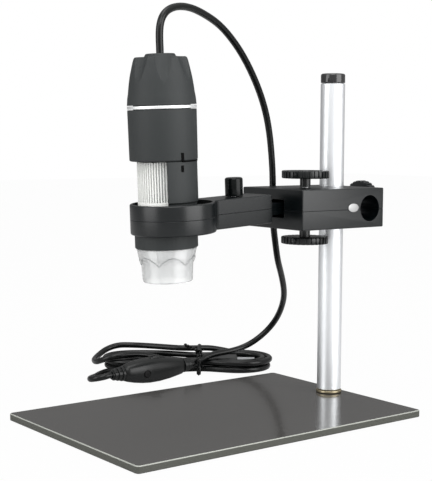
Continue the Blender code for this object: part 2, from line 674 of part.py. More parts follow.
def arm_outline(inset, height):
    """The arm's bar and ring seen from above, from the shoulder round the ring and back."""
    half = ARM_HALF_WIDTH - inset
    reach = RING_RADIUS - inset
    fillet = ARM_FILLET + inset
    fillet_y = half + fillet
    span = reach + fillet
    fillet_x = -RING_DISTANCE + math.sqrt(span ** 2 - fillet_y ** 2)
    touch = math.atan2(fillet_y, fillet_x + RING_DISTANCE)
    points = [(-ARM_SHOULDER - inset, half)]
    fillet_steps = 4
    for step in range(fillet_steps + 1):
        angle = -math.pi / 2 - (math.pi / 2 - touch) * step / fillet_steps
        points.append((fillet_x + fillet * math.cos(angle), fillet_y + fillet * math.sin(angle)))
    ring_steps = 36
    for step in range(1, ring_steps):
        angle = touch + (math.tau - 2 * touch) * step / ring_steps
        points.append((-RING_DISTANCE + reach * math.cos(angle), reach * math.sin(angle)))
    for step in range(fillet_steps, -1, -1):
        angle = math.pi / 2 + (math.pi / 2 - touch) * step / fillet_steps
        points.append((fillet_x + fillet * math.cos(angle), -fillet_y + fillet * math.sin(angle)))
    points.append((-ARM_SHOULDER - inset, -half))
    return [(x, y, height) for x, y in points]


def arm_half(name, side, arm):
    """One shell of the arm: side is 1 above the seam and -1 below it."""
    seam = side * GAP / 2
    outer = side * ARM_HALF_HEIGHT
    levels = [(SEAM_CHAMFER, seam), (0, seam + side * SEAM_CHAMFER), (0, outer - side * ARM_EDGE),
              (ARM_EDGE * CORNER_SHARE, outer - side * ARM_EDGE * CORNER_SHARE),
              (ARM_EDGE, outer)]
    shell = piece(name, skin([arm_outline(inset, height) for inset, height in levels]),
                  "black_plastic", arm)
    tongue_end = TONGUE_TOP if side > 0 else TONGUE_BOTTOM
    low, high = sorted((seam, tongue_end))
    tongue = [(-ARM_SHOULDER - OVERRUN, -TONGUE_HALF_WIDTH), (0, -TONGUE_HALF_WIDTH)]
    end_steps = 8
    for step in range(1, end_steps):
        angle = -math.pi / 2 + math.pi * step / end_steps
        tongue.append((TONGUE_HALF_WIDTH * math.cos(angle), TONGUE_HALF_WIDTH * math.sin(angle)))
    tongue += [(0, TONGUE_HALF_WIDTH), (-ARM_SHOULDER - OVERRUN, TONGUE_HALF_WIDTH)]
    combine(shell, skin([[(x, y, height) for x, y in tongue] for height in (low, high)]), 'UNION')
    bottom, top = low - OVERRUN, ARM_HALF_HEIGHT + OVERRUN
    if side < 0:
        bottom, top = -ARM_HALF_HEIGHT - OVERRUN, OVERRUN
    combine(shell, rod_shape(RING_RADIUS - RING_WALL, (-RING_DISTANCE, 0, bottom),
                             (-RING_DISTANCE, 0, top), 48))
    combine(shell, rod_shape(TONGUE_HOLE_RADIUS, (0, 0, bottom), (0, 0, top), 20))
    combine(shell, rod_shape(STUD_RADIUS + GAP, (-ARM_KNOB_DISTANCE, 0, bottom),
                             (-ARM_KNOB_DISTANCE, 0, top), 16))
    return shell


def make_arm(foot):
    """Arm and ring in two shells, their screws, the holder pad, and the round knob on its stud."""
    arm = frame("arm_frame", (PIVOT_X, PIVOT_Y, ARM_HEIGHT), foot, yaw=ARM_SWING, pitch=-ARM_DROOP)
    upper = arm_half("arm_upper", 1, arm)
    lower = arm_half("arm_lower", -1, arm)
    base = -ARM_HALF_HEIGHT
    sunk = base - OVERRUN
    combine(lower, rod_shape(STUD_HEAD_RADIUS + GAP, (-ARM_KNOB_DISTANCE, 0, sunk),
                             (-ARM_KNOB_DISTANCE, 0, base + STUD_HEAD_HEIGHT + 2 * GAP), 20))
    tip = CASE_SCREW_BITE
    for distance in ARM_SCREW_DISTANCES:
        combine(lower, turned_at(-distance, 0, screw_profile(
            CASE_SCREW_RADIUS + GAP, CASE_SCREW_HEAD_RADIUS + GAP,
            CASE_SCREW_HEAD_HEIGHT + 2 * GAP + OVERRUN, sunk, OVERRUN)))
        combine(upper, turned_at(-distance, 0, [
            (0, -OVERRUN), (CASE_SCREW_RADIUS + GAP, -OVERRUN), (CASE_SCREW_RADIUS + GAP, tip + GAP),
            (0, tip + GAP)]))
    like_pieces("arm_screw", [(-distance, 0) for distance in ARM_SCREW_DISTANCES], screw_profile(
        CASE_SCREW_RADIUS, CASE_SCREW_HEAD_RADIUS, CASE_SCREW_HEAD_HEIGHT, base + GAP, tip), arm)

    knob_axis = frame("arm_knob_axis", (-ARM_KNOB_DISTANCE, 0, 0), arm)
    stud_tip = ARM_HALF_HEIGHT + STUD_RISE
    piece("arm_stud", turned(screw_profile(STUD_RADIUS, STUD_HEAD_RADIUS, STUD_HEAD_HEIGHT,
                                           base + GAP, stud_tip), 16), "steel", knob_axis)
    low = ARM_HALF_HEIGHT + GAP
    hole = STUD_RADIUS + GAP
    shoulder = ARM_KNOB_EDGE * CORNER_SHARE
    piece("arm_knob", turned([
        (0, stud_tip + GAP), (hole, stud_tip + GAP), (hole, low), (ARM_KNOB_RADIUS, low),
        (ARM_KNOB_RADIUS, ARM_KNOB_TOP - ARM_KNOB_EDGE),
        (ARM_KNOB_RADIUS - shoulder, ARM_KNOB_TOP - shoulder),
        (ARM_KNOB_RADIUS - ARM_KNOB_EDGE, ARM_KNOB_TOP), (0, ARM_KNOB_TOP)], 32),
        "black_plastic", knob_axis)

    pad_top = ARM_HALF_HEIGHT - PAD_WALL_GAP
    pad = piece("holder_pad", rod_shape(RING_RADIUS - RING_WALL - GAP, (-RING_DISTANCE, 0, -pad_top),
                                        (-RING_DISTANCE, 0, pad_top), 48), "grey_rubber", arm)
    head_x = -RING_DISTANCE + HEAD_SHIFT_X
    combine(pad, rod_shape(BARREL_RADIUS + GAP, (head_x, HEAD_SHIFT_Y, -ARM_HALF_HEIGHT),
                           (head_x, HEAD_SHIFT_Y, ARM_HALF_HEIGHT), 48))
    combine(pad, block((-RING_DISTANCE - RING_RADIUS - OVERRUN, -RING_RADIUS - OVERRUN, -ARM_HALF_HEIGHT),
                       (-RING_DISTANCE + PAD_REACH, RING_RADIUS + OVERRUN, ARM_HALF_HEIGHT)))
    return arm


def make_head(arm):
    """Microscope head: barrel with its open side, wheel, optics, boards, body, cap and hood."""
    head = frame("head_frame", (-RING_DISTANCE + HEAD_SHIFT_X, HEAD_SHIFT_Y, 0), arm)
    barrel = piece("lower_barrel", turned([
        (BARREL_BORE, BARREL_BOTTOM), (BARREL_RADIUS, BARREL_BOTTOM), (BARREL_RADIUS, SPINE_FOOT),
        (SPINE_RADIUS, SPINE_START), (SPINE_RADIUS, SPINE_TOP), (NECK_RADIUS, SPINE_TOP),
        (NECK_RADIUS, NECK_TOP), (BARREL_BORE, NECK_TOP), (BARREL_BORE, SENSOR_LEDGE_TOP),
        (LEDGE_RADIUS, SENSOR_LEDGE_TOP), (LEDGE_RADIUS, SENSOR_LEDGE_TOP - LEDGE_THICKNESS),
        (BARREL_BORE, SENSOR_LEDGE_TOP - LEDGE_THICKNESS), (BARREL_BORE, WHEEL_LEDGE_TOP),
        (LEDGE_RADIUS, WHEEL_LEDGE_TOP), (LEDGE_RADIUS, WHEEL_LEDGE_TOP - LEDGE_THICKNESS),
        (BARREL_BORE, WHEEL_LEDGE_TOP - LEDGE_THICKNESS),
        (BARREL_BORE, LED_LEDGE_BOTTOM + LEDGE_THICKNESS),
        (LEDGE_RADIUS, LED_LEDGE_BOTTOM + LEDGE_THICKNESS), (LEDGE_RADIUS, LED_LEDGE_BOTTOM),
        (BARREL_BORE, LED_LEDGE_BOTTOM)], 36), "grey_rubber", head)
    window_top = SENSOR_LEDGE_TOP - LEDGE_THICKNESS
    wide = 2 * SPINE_RADIUS
    open_angle = math.tau - SPINE_ANGLE
    middle = SPINE_HEADING + math.pi
    wedge = [(0, 0)]
    for share in (-1 / 2, -1 / 4, 0, 1 / 4, 1 / 2):
        angle = middle + open_angle * share
        wedge.append((wide * math.cos(angle), wide * math.sin(angle)))
    combine(barrel, skin([[(x, y, height) for x, y in wedge] for height in (WHEEL_LEDGE_TOP, window_top)]))

    wheel_low = WHEEL_LEDGE_TOP + GAP
    wheel_bore = LENS_TUBE_RADIUS + WHEEL_BORE_GAP
    wheel = piece("focus_wheel", skin([toothed(WHEEL_RADIUS, WHEEL_TOOTH_DEPTH, WHEEL_TEETH, height)
                                       for height in (wheel_low + GAP, WHEEL_TOP)]),
                  "white_translucent", head)
    combine(wheel, rod_shape(WHEEL_COLLAR_RADIUS, (0, 0, wheel_low),
                             (0, 0, wheel_low + WHEEL_COLLAR_HEIGHT), 40), 'UNION')
    combine(wheel, rod_shape(wheel_bore, (0, 0, wheel_low - OVERRUN), (0, 0, WHEEL_TOP + OVERRUN), 32))

    piece("lens_tube", turned([
        (LENS_TUBE_BORE, LENS_TUBE_BOTTOM), (LENS_TUBE_RADIUS, LENS_TUBE_BOTTOM),
        (LENS_TUBE_RADIUS, LENS_TUBE_TOP), (LENS_TUBE_BORE, LENS_TUBE_TOP)], 32), "black_plastic", head)
    lens_low = LENS_TUBE_BOTTOM + LENS_LIFT
    piece("objective_lens", turned([(LENS_RADIUS * across, lens_low + LENS_THICKNESS * rise)
                                    for across, rise in LENS_SHARES], 20), "lens_glass", head)

    board_high = LED_LEDGE_BOTTOM - GAP
    board_low = board_high - LED_BOARD_THICKNESS
    board_radius = BARREL_BORE - GAP
    led_board = piece("led_board", turned([
        (LEDGE_RADIUS, board_low), (board_radius, board_low), (board_radius, board_high),
        (LEDGE_RADIUS, board_high)], 24), "circuit_board", head)
    for index in range(LED_COUNT):
        angle = math.tau * index / LED_COUNT
        combine(led_board, turned_at(LED_CIRCLE * math.cos(angle), LED_CIRCLE * math.sin(angle), [
            (0, board_low - LED_HEIGHT), (LED_RADIUS / 2, board_low - LED_HEIGHT),
            (LED_RADIUS, board_low - LED_HEIGHT / 2), (LED_RADIUS, board_high - GAP),
            (0, board_high - GAP)], 8), 'UNION')

    sensor_low = SENSOR_LEDGE_TOP + GAP
    piece("sensor_board", rod_shape(BARREL_BORE - GAP, (0, 0, sensor_low),
                                    (0, 0, sensor_low + SENSOR_BOARD_THICKNESS), 36),
          "circuit_board", head)
    half = SENSOR_WIDTH / 2
    piece("image_sensor", block((-half, -half, sensor_low - GAP - SENSOR_THICKNESS),
                                (half, half, sensor_low - GAP)), "chip", head)

    piece("upper_body", turned([
        (BODY_BORE, BODY_BOTTOM), (BODY_RADIUS_BOTTOM - BODY_ROUNDING, BODY_BOTTOM),
        (BODY_RADIUS_BOTTOM - BODY_ROUNDING * CORNER_SHARE,
         BODY_BOTTOM + BODY_ROUNDING * CORNER_SHARE),
        (BODY_RADIUS_BOTTOM, BODY_BOTTOM + BODY_ROUNDING), (BODY_RADIUS_TOP, BODY_TOP),
        (BODY_BORE, BODY_TOP)], 48), "grey_rubber", head)
    band_bore = CAP_SKIRT_RADIUS + GAP
    piece("silver_band", turned([
        (band_bore, RING_BAND_BOTTOM), (RING_BAND_RADIUS, RING_BAND_BOTTOM),
        (RING_BAND_RADIUS, RING_BAND_TOP), (band_bore, RING_BAND_TOP)], 48), "polished_metal", head)
    make_head_cap(head)
    make_hood(head)
    return head


def make_head_cap(head):
    """Grip cap: a tapered crown with fading flutes, a raised boss and a skirt inside the body."""
    low = RING_BAND_TOP + GAP
    height = HEAD_TOP - low
    outside = [(RING_BAND_RADIUS * radius, low + height * rise) for radius, rise in HEAD_CAP_SHARES]
    shoulder = outside[-1][1]
    skirt_low = low - CAP_SKIRT_DEPTH
    inner = CAP_SKIRT_RADIUS - CAP_SKIRT_WALL
    rise = HEAD_TOP - shoulder
    cap = piece("head_cap", turned([
        (inner, skirt_low), (CAP_SKIRT_RADIUS, skirt_low), (CAP_SKIRT_RADIUS, low), *outside,
        (HEAD_BOSS_RADIUS + rise / 2, shoulder), (HEAD_BOSS_RADIUS, shoulder + rise * 2 / 3),
        (HEAD_BOSS_RADIUS - rise / 3, HEAD_TOP), (0, HEAD_TOP), (0, CAP_HOLLOW_TOP),
        (inner, CAP_HOLLOW_TOP)], 48), "grey_rubber", head)
    top_radius = RING_BAND_RADIUS * HEAD_CAP_SHARES[-2][0]
    fade_radius = RING_BAND_RADIUS * HEAD_CAP_SHARES[4][0]
    start = Vector((fade_radius + FLUTE_RADIUS, 0, FLUTE_FADE))
    end = Vector((top_radius - FLUTE_DEPTH + FLUTE_RADIUS, 0, shoulder))
    along = (end - start).normalized() * (2 * FLUTE_RADIUS)
    flutes = bmesh.new()
    for index in range(FLUTE_COUNT):
        turn = Matrix.Rotation(FLUTE_HEADING + math.tau * index / FLUTE_COUNT, 3, 'Z')
        rod(flutes, FLUTE_RADIUS, turn @ (start - along), turn @ (end + along), 20)
    combine(cap, flutes)


def make_hood(head):
    """Clear hood: a sleeve in the barrel and a stepped cup open at the bottom."""
    top = BARREL_BOTTOM - GAP
    inner_sleeve = HOOD_SLEEVE_RADIUS - HOOD_WALL
    piece("clear_hood", turned([
        (HOOD_END_RADIUS - HOOD_WALL, HOOD_BOTTOM), (HOOD_END_RADIUS, HOOD_BOTTOM),
        (HOOD_STEP_RADIUS, HOOD_STEP), (HOOD_SHOULDER_RADIUS, HOOD_SHOULDER), (HOOD_TOP_RADIUS, top),
        (HOOD_SLEEVE_RADIUS, top), (HOOD_SLEEVE_RADIUS, HOOD_SLEEVE_TOP),
        (inner_sleeve, HOOD_SLEEVE_TOP), (inner_sleeve, HOOD_SHOULDER),
        (HOOD_STEP_RADIUS - HOOD_WALL, HOOD_STEP)], 36), "clear_plastic", head)


def controller_section(place_share, height_share, depth_share):
    """A rounded section of the controller's pod across its length."""
    half_height = CONTROLLER_HEIGHT / 2 * height_share
    half_depth = CONTROLLER_DEPTH / 2 * depth_share
    x = CONTROLLER_LENGTH * (place_share - 1 / 2)
    points = []
    for index in range(CONTROLLER_SIDES):
        angle = math.tau * index / CONTROLLER_SIDES
        across, up = math.cos(angle), math.sin(angle)
        points.append((x, half_depth * math.copysign(abs(across) ** (4 / 5), across),
                       half_height * math.copysign(abs(up) ** (4 / 5), up)))
    return points


def controller_half(name, side, holder):
    """One shell of the pod, cut at its middle plane; side is -1 at the front and 1 at the back."""
    shape = skin([controller_section(*shares) for shares in CONTROLLER_SHARES])
    cut = bmesh.ops.bisect_plane(shape, geom=shape.verts[:] + shape.edges[:] + shape.faces[:],
                                 plane_co=(0, side * GAP / 2, 0), plane_no=(0, -side, 0),
                                 clear_outer=True)
    rim = [item for item in cut["geom_cut"] if isinstance(item, bmesh.types.BMEdge)]
    bmesh.ops.contextual_create(shape, geom=rim)
    return piece(name, shape, "black_plastic", holder)


def make_controller():
    """In-line controller: two shells, dimmer wheel on its pin, button, board and two reliefs."""
    middle = CONTROLLER_FLOOR + CONTROLLER_HEIGHT / 2
    holder = frame("controller_frame", (CONTROLLER_X, CONTROLLER_Y, middle))
    wheel_up = CONTROLLER_HEIGHT / 2 + DIMMER_PROUD - DIMMER_RADIUS
    room = DIMMER_RADIUS + RUNNING_GAP
    half_room = DIMMER_THICKNESS / 2 + GAP
    pin_half = DIMMER_PIN_LENGTH / 2
    front = controller_half("controller_front", -1, holder)
    back = controller_half("controller_back", 1, holder)
    board_room = Vector((BOARD_LENGTH / 2 + GAP, BOARD_THICKNESS / 2 + GAP, BOARD_HEIGHT / 2 + GAP))
    board_middle = Vector((BOARD_PLACE, 0, 0))
    for shell in (front, back):
        combine(shell, rod_shape(room, (DIMMER_PLACE, -half_room, wheel_up),
                                 (DIMMER_PLACE, half_room, wheel_up), 32))
        combine(shell, rod_shape(DIMMER_PIN_RADIUS + GAP, (DIMMER_PLACE, -pin_half - GAP, wheel_up),
                                 (DIMMER_PLACE, pin_half + GAP, wheel_up), 12))
        combine(shell, block(board_middle - board_room, board_middle + board_room))
    piece("controller_board", block(
        (BOARD_PLACE - BOARD_LENGTH / 2, -BOARD_THICKNESS / 2, -BOARD_HEIGHT / 2),
        (BOARD_PLACE + BOARD_LENGTH / 2, BOARD_THICKNESS / 2, BOARD_HEIGHT / 2)), "circuit_board", holder)

    axis = frame("dimmer_axis", (DIMMER_PLACE, 0, wheel_up), holder)
    wheel_shape = toothed_disc(DIMMER_RADIUS, DIMMER_TOOTH_DEPTH, DIMMER_TEETH,
                               -DIMMER_THICKNESS / 2, DIMMER_THICKNESS / 2, DIMMER_TOOTH_DEPTH)
    bmesh.ops.rotate(wheel_shape, verts=wheel_shape.verts, cent=ORIGIN,
                     matrix=Matrix.Rotation(math.pi / 2, 3, 'X'))
    wheel = piece("dimmer_wheel", wheel_shape, "black_plastic", axis)
    combine(wheel, rod_shape(DIMMER_PIN_RADIUS + GAP, (0, -DIMMER_THICKNESS, 0),
                             (0, DIMMER_THICKNESS, 0), 12))
    piece("dimmer_pin", rod_shape(DIMMER_PIN_RADIUS, (0, -pin_half, 0), (0, pin_half, 0), 12),
          "steel", axis)

    face = -CONTROLLER_DEPTH / 2 - BUTTON_PROUD
    floor = face + BUTTON_DEPTH
    combine(front, rod_shape(BUTTON_RADIUS + GAP, (BUTTON_PLACE, face - OVERRUN, -BUTTON_DROP),
                             (BUTTON_PLACE, floor + BUTTON_TRAVEL + GAP, -BUTTON_DROP), 20))
    button_axis = frame("button_axis", (BUTTON_PLACE, face, -BUTTON_DROP), holder)
    button = turned([(0, 0), (BUTTON_RADIUS - BUTTON_EDGE, 0), (BUTTON_RADIUS, BUTTON_EDGE),
                     (BUTTON_RADIUS, BUTTON_DEPTH), (0, BUTTON_DEPTH)], 20)
    bmesh.ops.rotate(button, verts=button.verts, cent=ORIGIN, matrix=Matrix.Rotation(-math.pi / 2, 3, 'X'))
    piece("snapshot_button", button, "grey_rubber", button_axis)

    end = CONTROLLER_LENGTH / 2 + GAP
    make_relief("relief_left", holder, -end, -1, RELIEF_LEFT_LENGTH)
    make_relief("relief_right", holder, end, 1, RELIEF_RIGHT_LENGTH)
    return holder, end


def make_relief(name, holder, start, way, length):
    """A ribbed, tapering strain relief along the controller's length."""
    ribs = round(length / RELIEF_RIB_PITCH)
    profile = [(0, 0)]
    for index in range(ribs):
        share = index / ribs
        radius = RELIEF_ROOT_RADIUS + (RELIEF_TIP_RADIUS - RELIEF_ROOT_RADIUS) * share
        low = length * share
        step = length / ribs
        profile += [(radius, low), (radius, low + step * 2 / 3),
                    (radius - RELIEF_RIB_DEPTH, low + step * 2 / 3), (radius - RELIEF_RIB_DEPTH, low + step)]
    profile.append((0, length))
    shape = turned(profile, 20)
    bmesh.ops.rotate(shape, verts=shape.verts, cent=ORIGIN,
                     matrix=Matrix.Rotation(way * math.pi / 2, 3, 'Y'))
    bmesh.ops.translate(shape, verts=shape.verts, vec=(start, 0, 0))
    piece(name, shape, "black_plastic", holder)


def waist_width(along):
    """Half-width of the hank's outer turn, drawn in at the tie."""
    away = abs(along - HANK_WAIST) / HANK_WAIST_REACH
    draw = HANK_WAIST_DRAW * math.cos(math.pi / 2 * min(away, 1)) ** 2
    return HANK_HALF_WIDTH - draw


def hank_point(turns):
    """A point of the hank after some turns: the spiral runs in, climbs a layer and runs out."""
    inward = HANK_PITCH * min(turns, HANK_TURNS - turns)
    climb = min(max((turns - HANK_TURNS / 2 + 1 / 4) * 2, 0), 1)
    height = HANK_REST + HANK_LAYER * climb ** 2 * (3 - 2 * climb)
    share = turns % 1
    back = share >= 1 / 2
    share -= back / 2
    if share < HANK_RUN_SHARE:
        along = HANK_HALF_RUN * (2 * share / HANK_RUN_SHARE - 1)
        side = 1 if back else -1
        place = -along if back else along
        return Vector((place, side * (waist_width(place) - inward), height))
    angle = math.pi * ((share - HANK_RUN_SHARE) / (1 / 2 - HANK_RUN_SHARE) - 1 / 2)
    radius = HANK_HALF_WIDTH - inward
    along = HANK_HALF_RUN + radius * math.cos(angle)
    across = radius * math.sin(angle)
    return Vector((-along, -across, height)) if back else Vector((along, across, height))


def least_self_gap(points):
    """Smallest gap between turns of a tube, measured on its points."""
    least = HANK_HALF_RUN
    for first in range(len(points)):
        for second in range(first + HANK_POINTS // 2, len(points)):
            least = min(least, (points[first] - points[second]).length - 2 * CORD_RADIUS)
    return least


def make_lead(head, arm, controller, controller_end):
    """The lead from the head to the hank, the controller and the plug, with the tie."""
    hank = frame("hank_frame", (HANK_X, HANK_Y, 0), yaw=HANK_YAW)
    bpy.context.view_layer.update()
    count = round(HANK_TURNS * HANK_POINTS)
    loops = [hank_point(HANK_TURNS * index / count) for index in range(count + 1)]
    run = Vector((CORD_END_RUN, 0, 0))
    loops = [loops[0] - run] + loops + [loops[-1] - run]
    cord("cord_hank", loops, hank, resolution=1)
    print("hank: least gap between turns", round(least_self_gap(loops), 6),
          "length", round(path_length(loops), 4))

    to_world = hank.matrix_world
    to_arm = arm.matrix_world.inverted()
    head_exit = [head.matrix_world @ Vector((0, 0, HEAD_TOP + lift)) for lift in (GAP, CORD_END_RUN)]
    arc_end, slack_start = square_ends(LEAD_ARC_ROUTE, LEAD_SLACK_ROUTE)
    arc = smooth_points([*head_exit, *LEAD_ARC_ROUTE[:-1], *arc_end], ARC_POINTS)
    cord("lead_arc", [to_arm @ point for point in arc], arm)
    slack_end, low_start = square_ends(LEAD_SLACK_ROUTE, LEAD_LOW_ROUTE)
    slack = smooth_points([*slack_start, *LEAD_SLACK_ROUTE[:-1], *slack_end], SLACK_POINTS)
    cord("lead_slack", slack)
    tip = controller_end + RELIEF_RIGHT_LENGTH + GAP
    relief = [controller.matrix_world @ Vector((place, 0, 0)) for place in (tip + CORD_RADIUS, tip)]
    low = smooth_points([*low_start, *LEAD_LOW_ROUTE, *relief], LOW_POINTS)
    cord("lead_low", low)
    tip = controller_end + RELIEF_LEFT_LENGTH + GAP
    relief = [controller.matrix_world @ Vector((-place, 0, 0)) for place in (tip, tip + CORD_RADIUS)]
    back = Vector((-1, 0, 0))
    hank_start = [to_world @ (loops[0] + back * reach) for reach in (GAP + CORD_RADIUS, GAP)]
    left = smooth_points([*relief, *CONTROLLER_LEAD_ROUTE, *hank_start], CONTROLLER_LEAD_POINTS)
    cord("controller_lead", left)

    tail_tip = Vector((PLUG_PLACE, PLUG_OFFSET, PLUG_FLOOR + PLUG_THICKNESS / 2))
    last = smooth_points(
        [loops[-1] + back * reach for reach in (GAP, GAP + CORD_RADIUS)] + list(PLUG_LEAD_ROUTE)
        + [tail_tip + back * reach for reach in (GAP + CORD_RADIUS, GAP)], PLUG_LEAD_POINTS)
    cord("plug_lead", last, hank)
    total = sum(path_length(points) for points in (arc, slack, low, left, loops, last))
    print("lead: length from the head to the plug", round(total, 4))
    make_plug(hank, tail_tip)
    make_tie(hank)


def rounded_outline(half_width, half_height, corner, place, steps=3):
    """A rounded rectangle across the plug's length."""
    points = []
    for centre_y, centre_z, first in ((1, 1, 0), (-1, 1, 1), (-1, -1, 2), (1, -1, 3)):
        for step in range(steps + 1):
            angle = math.pi / 2 * (first + step / steps)
            points.append((place, centre_y * (half_width - corner) + corner * math.cos(angle),
                           centre_z * (half_height - corner) + corner * math.sin(angle)))
    return points


def make_plug(hank, tail_tip):
    """Plug: a tail and moulded grip in one, the metal shell, and the contact tongue."""
    holder = frame("plug_frame", tail_tip, hank)
    half_width, half_height = PLUG_WIDTH / 2, PLUG_THICKNESS / 2
    tail = PLUG_TAIL_LENGTH
    front = tail + PLUG_LENGTH
    outlines = [
        rounded_outline(PLUG_TAIL_RADIUS, PLUG_TAIL_RADIUS, PLUG_TAIL_RADIUS, 0),
        rounded_outline(PLUG_TAIL_ROOT_RADIUS, PLUG_TAIL_ROOT_RADIUS, PLUG_TAIL_ROOT_RADIUS, tail),
        rounded_outline(half_width, half_height, PLUG_EDGE, tail + PLUG_SHOULDER),
        rounded_outline(half_width, half_height, PLUG_EDGE, front - PLUG_EDGE / 2),
        rounded_outline(half_width - PLUG_EDGE / 2, half_height - PLUG_EDGE / 2, PLUG_EDGE, front)]
    grip = piece("plug_grip", skin(outlines), "black_plastic", holder)
    seat = front - SHELL_SEAT
    combine(grip, skin([rounded_outline(SHELL_WIDTH / 2 + GAP, SHELL_THICKNESS / 2 + GAP, SHELL_WALL, place)
                        for place in (seat - GAP, front + OVERRUN)]))
    shell_end = front + SHELL_LENGTH
    shell = piece("plug_shell", skin([
        rounded_outline(SHELL_WIDTH / 2, SHELL_THICKNESS / 2, SHELL_WALL, place)
        for place in (seat, shell_end)]), "polished_metal", holder)
    inner_width, inner_height = SHELL_WIDTH / 2 - SHELL_WALL, SHELL_THICKNESS / 2 - SHELL_WALL
    combine(shell, block((seat + SHELL_WALL, -inner_width, -inner_height),
                         (shell_end + OVERRUN, inner_width, inner_height)))
    tongue_low = inner_height - GAP - CONTACT_THICKNESS
    piece("plug_tongue", block(
        (seat + SHELL_WALL + GAP, -inner_width + GAP, tongue_low),
        (shell_end - SHELL_WALL, inner_width - GAP, inner_height - GAP)), "white_translucent", holder)


def make_tie(hank):
    """Twist tie round the hank's waist, with its twisted tail on top."""
    holder = frame("tie_frame", (HANK_WAIST, TIE_MIDDLE, TIE_TOP / 2), hank)
    half_height = TIE_TOP / 2
    tie = piece("twist_tie", skin([
        rounded_outline(TIE_HALF_WIDTH, half_height, TIE_CORNER, place)
        for place in (-TIE_WIDTH / 2, TIE_WIDTH / 2)]), "cord_jacket", holder)
    combine(tie, skin([
        rounded_outline(TIE_HALF_WIDTH - TIE_THICKNESS, half_height - TIE_THICKNESS,
                        TIE_CORNER - TIE_THICKNESS, place) for place in (-TIE_WIDTH, TIE_WIDTH)]))
    tail = bmesh.new()
    along_share, up_share = TIE_TAIL_SHARES
    lean = Vector((TIE_TAIL_LENGTH * along_share, 0, TIE_TAIL_LENGTH * up_share))
    foot = Vector((0, TIE_HALF_WIDTH * TIE_TAIL_SIDE_SHARE, half_height - TIE_THICKNESS / 2))
    rod(tail, TIE_TAIL_RADIUS, foot, foot + lean, 8)
    combine(tie, tail, 'UNION')


def build():
    clear_scene()
    foot = make_base()
    make_clamp(foot)
    make_thumbscrews(foot)
    arm = make_arm(foot)
    head = make_head(arm)
    controller, controller_end = make_controller()
    make_lead(head, arm, controller, controller_end)


build()
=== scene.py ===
"""Looks of a digital microscope on its plate stand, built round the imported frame."""

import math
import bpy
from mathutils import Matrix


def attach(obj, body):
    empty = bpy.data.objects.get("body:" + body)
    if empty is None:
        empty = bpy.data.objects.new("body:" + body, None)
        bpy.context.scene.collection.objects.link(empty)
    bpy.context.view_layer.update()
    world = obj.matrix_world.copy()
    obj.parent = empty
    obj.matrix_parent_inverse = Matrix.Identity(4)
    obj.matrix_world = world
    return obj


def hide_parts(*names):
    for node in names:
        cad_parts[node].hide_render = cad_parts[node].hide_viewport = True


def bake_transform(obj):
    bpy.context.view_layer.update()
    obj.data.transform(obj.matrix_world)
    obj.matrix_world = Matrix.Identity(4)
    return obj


bl_info = {
    "name": "Plate-Stand Microscope",
    "version": (1, 0, 0),
    "blender": (4, 5, 0),
    "location": "View3D > Sidebar > Microscope",
    "description": "Builds a ring-held digital microscope with its stand, lead and studio",
    "category": "Add Mesh",
}

import bmesh
import bpy
from bpy.props import FloatProperty, FloatVectorProperty, IntProperty, PointerProperty
from mathutils import Matrix, Vector

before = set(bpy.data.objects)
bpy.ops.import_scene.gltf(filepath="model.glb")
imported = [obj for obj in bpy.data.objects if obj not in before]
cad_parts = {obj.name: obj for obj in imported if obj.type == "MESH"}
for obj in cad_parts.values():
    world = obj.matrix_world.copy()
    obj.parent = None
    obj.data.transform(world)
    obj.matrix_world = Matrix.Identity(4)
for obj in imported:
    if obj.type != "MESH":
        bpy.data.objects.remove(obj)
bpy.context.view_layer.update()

# All sizes are in metres. Most repeat the part's; some fine ones, such as teeth and ledges, are
# this scene's own.
# Fits and cutting
GAP = 0.0003             # clearance where one piece seats on another
RUNNING_GAP = 0.0005     # clearance round a wheel that turns
SEAM_GAP = 0.00006       # open line between two halves
OVERRUN = 0.002          # how far a cutter runs past what it cuts
WELD = GAP / 100         # corners nearer than this become one
CREASE = 32              # angle between faces, in degrees, from which their edge is sharp
EDGE = 0.0003            # rounding of larger rims and of cut edges
FINE_EDGE = 0.0002       # rounding of small rims
UP = Vector((0, 0, 1))
ORIGIN = Vector((0, 0, 0))

# Sides of round shapes
FINE_SIDES = 160
HEAD_SIDES = 144
ROUND_SIDES = 96
DISC_SIDES = 64
ROD_SIDES = 48
SMALL_SIDES = 24
CORNER_STEPS = 5

# Base plate and post
PLATE_LENGTH = 0.1694
PLATE_DEPTH = 0.1147
PLATE_THICKNESS = 0.0035
PLATE_CORNER = 0.0020
COLLAR_RADIUS = 0.0068
COLLAR_HEIGHT = 0.0012
POST = Vector((0.0759, 0.0009, 0))
POST_RADIUS = 0.00635
POST_CHAMFER = 0.0004
POST_TOP = 0.1722        # top of the cap above the standing surface
POST_BOTTOM = PLATE_THICKNESS + COLLAR_HEIGHT + 2 * GAP
CAP_HEIGHT = 0.0048
CAP_ROUNDING = 0.0010
CAP_SPIGOT_RADIUS = 0.0040
CAP_SPIGOT_LENGTH = 0.0060
POST_SCREW_BORE = 0.0028
POST_SCREW_BORE_DEPTH = 0.0123
POST_SCREW_HEAD_BORE = 0.0050
POST_SCREW_HEAD_TOP = 0.0027

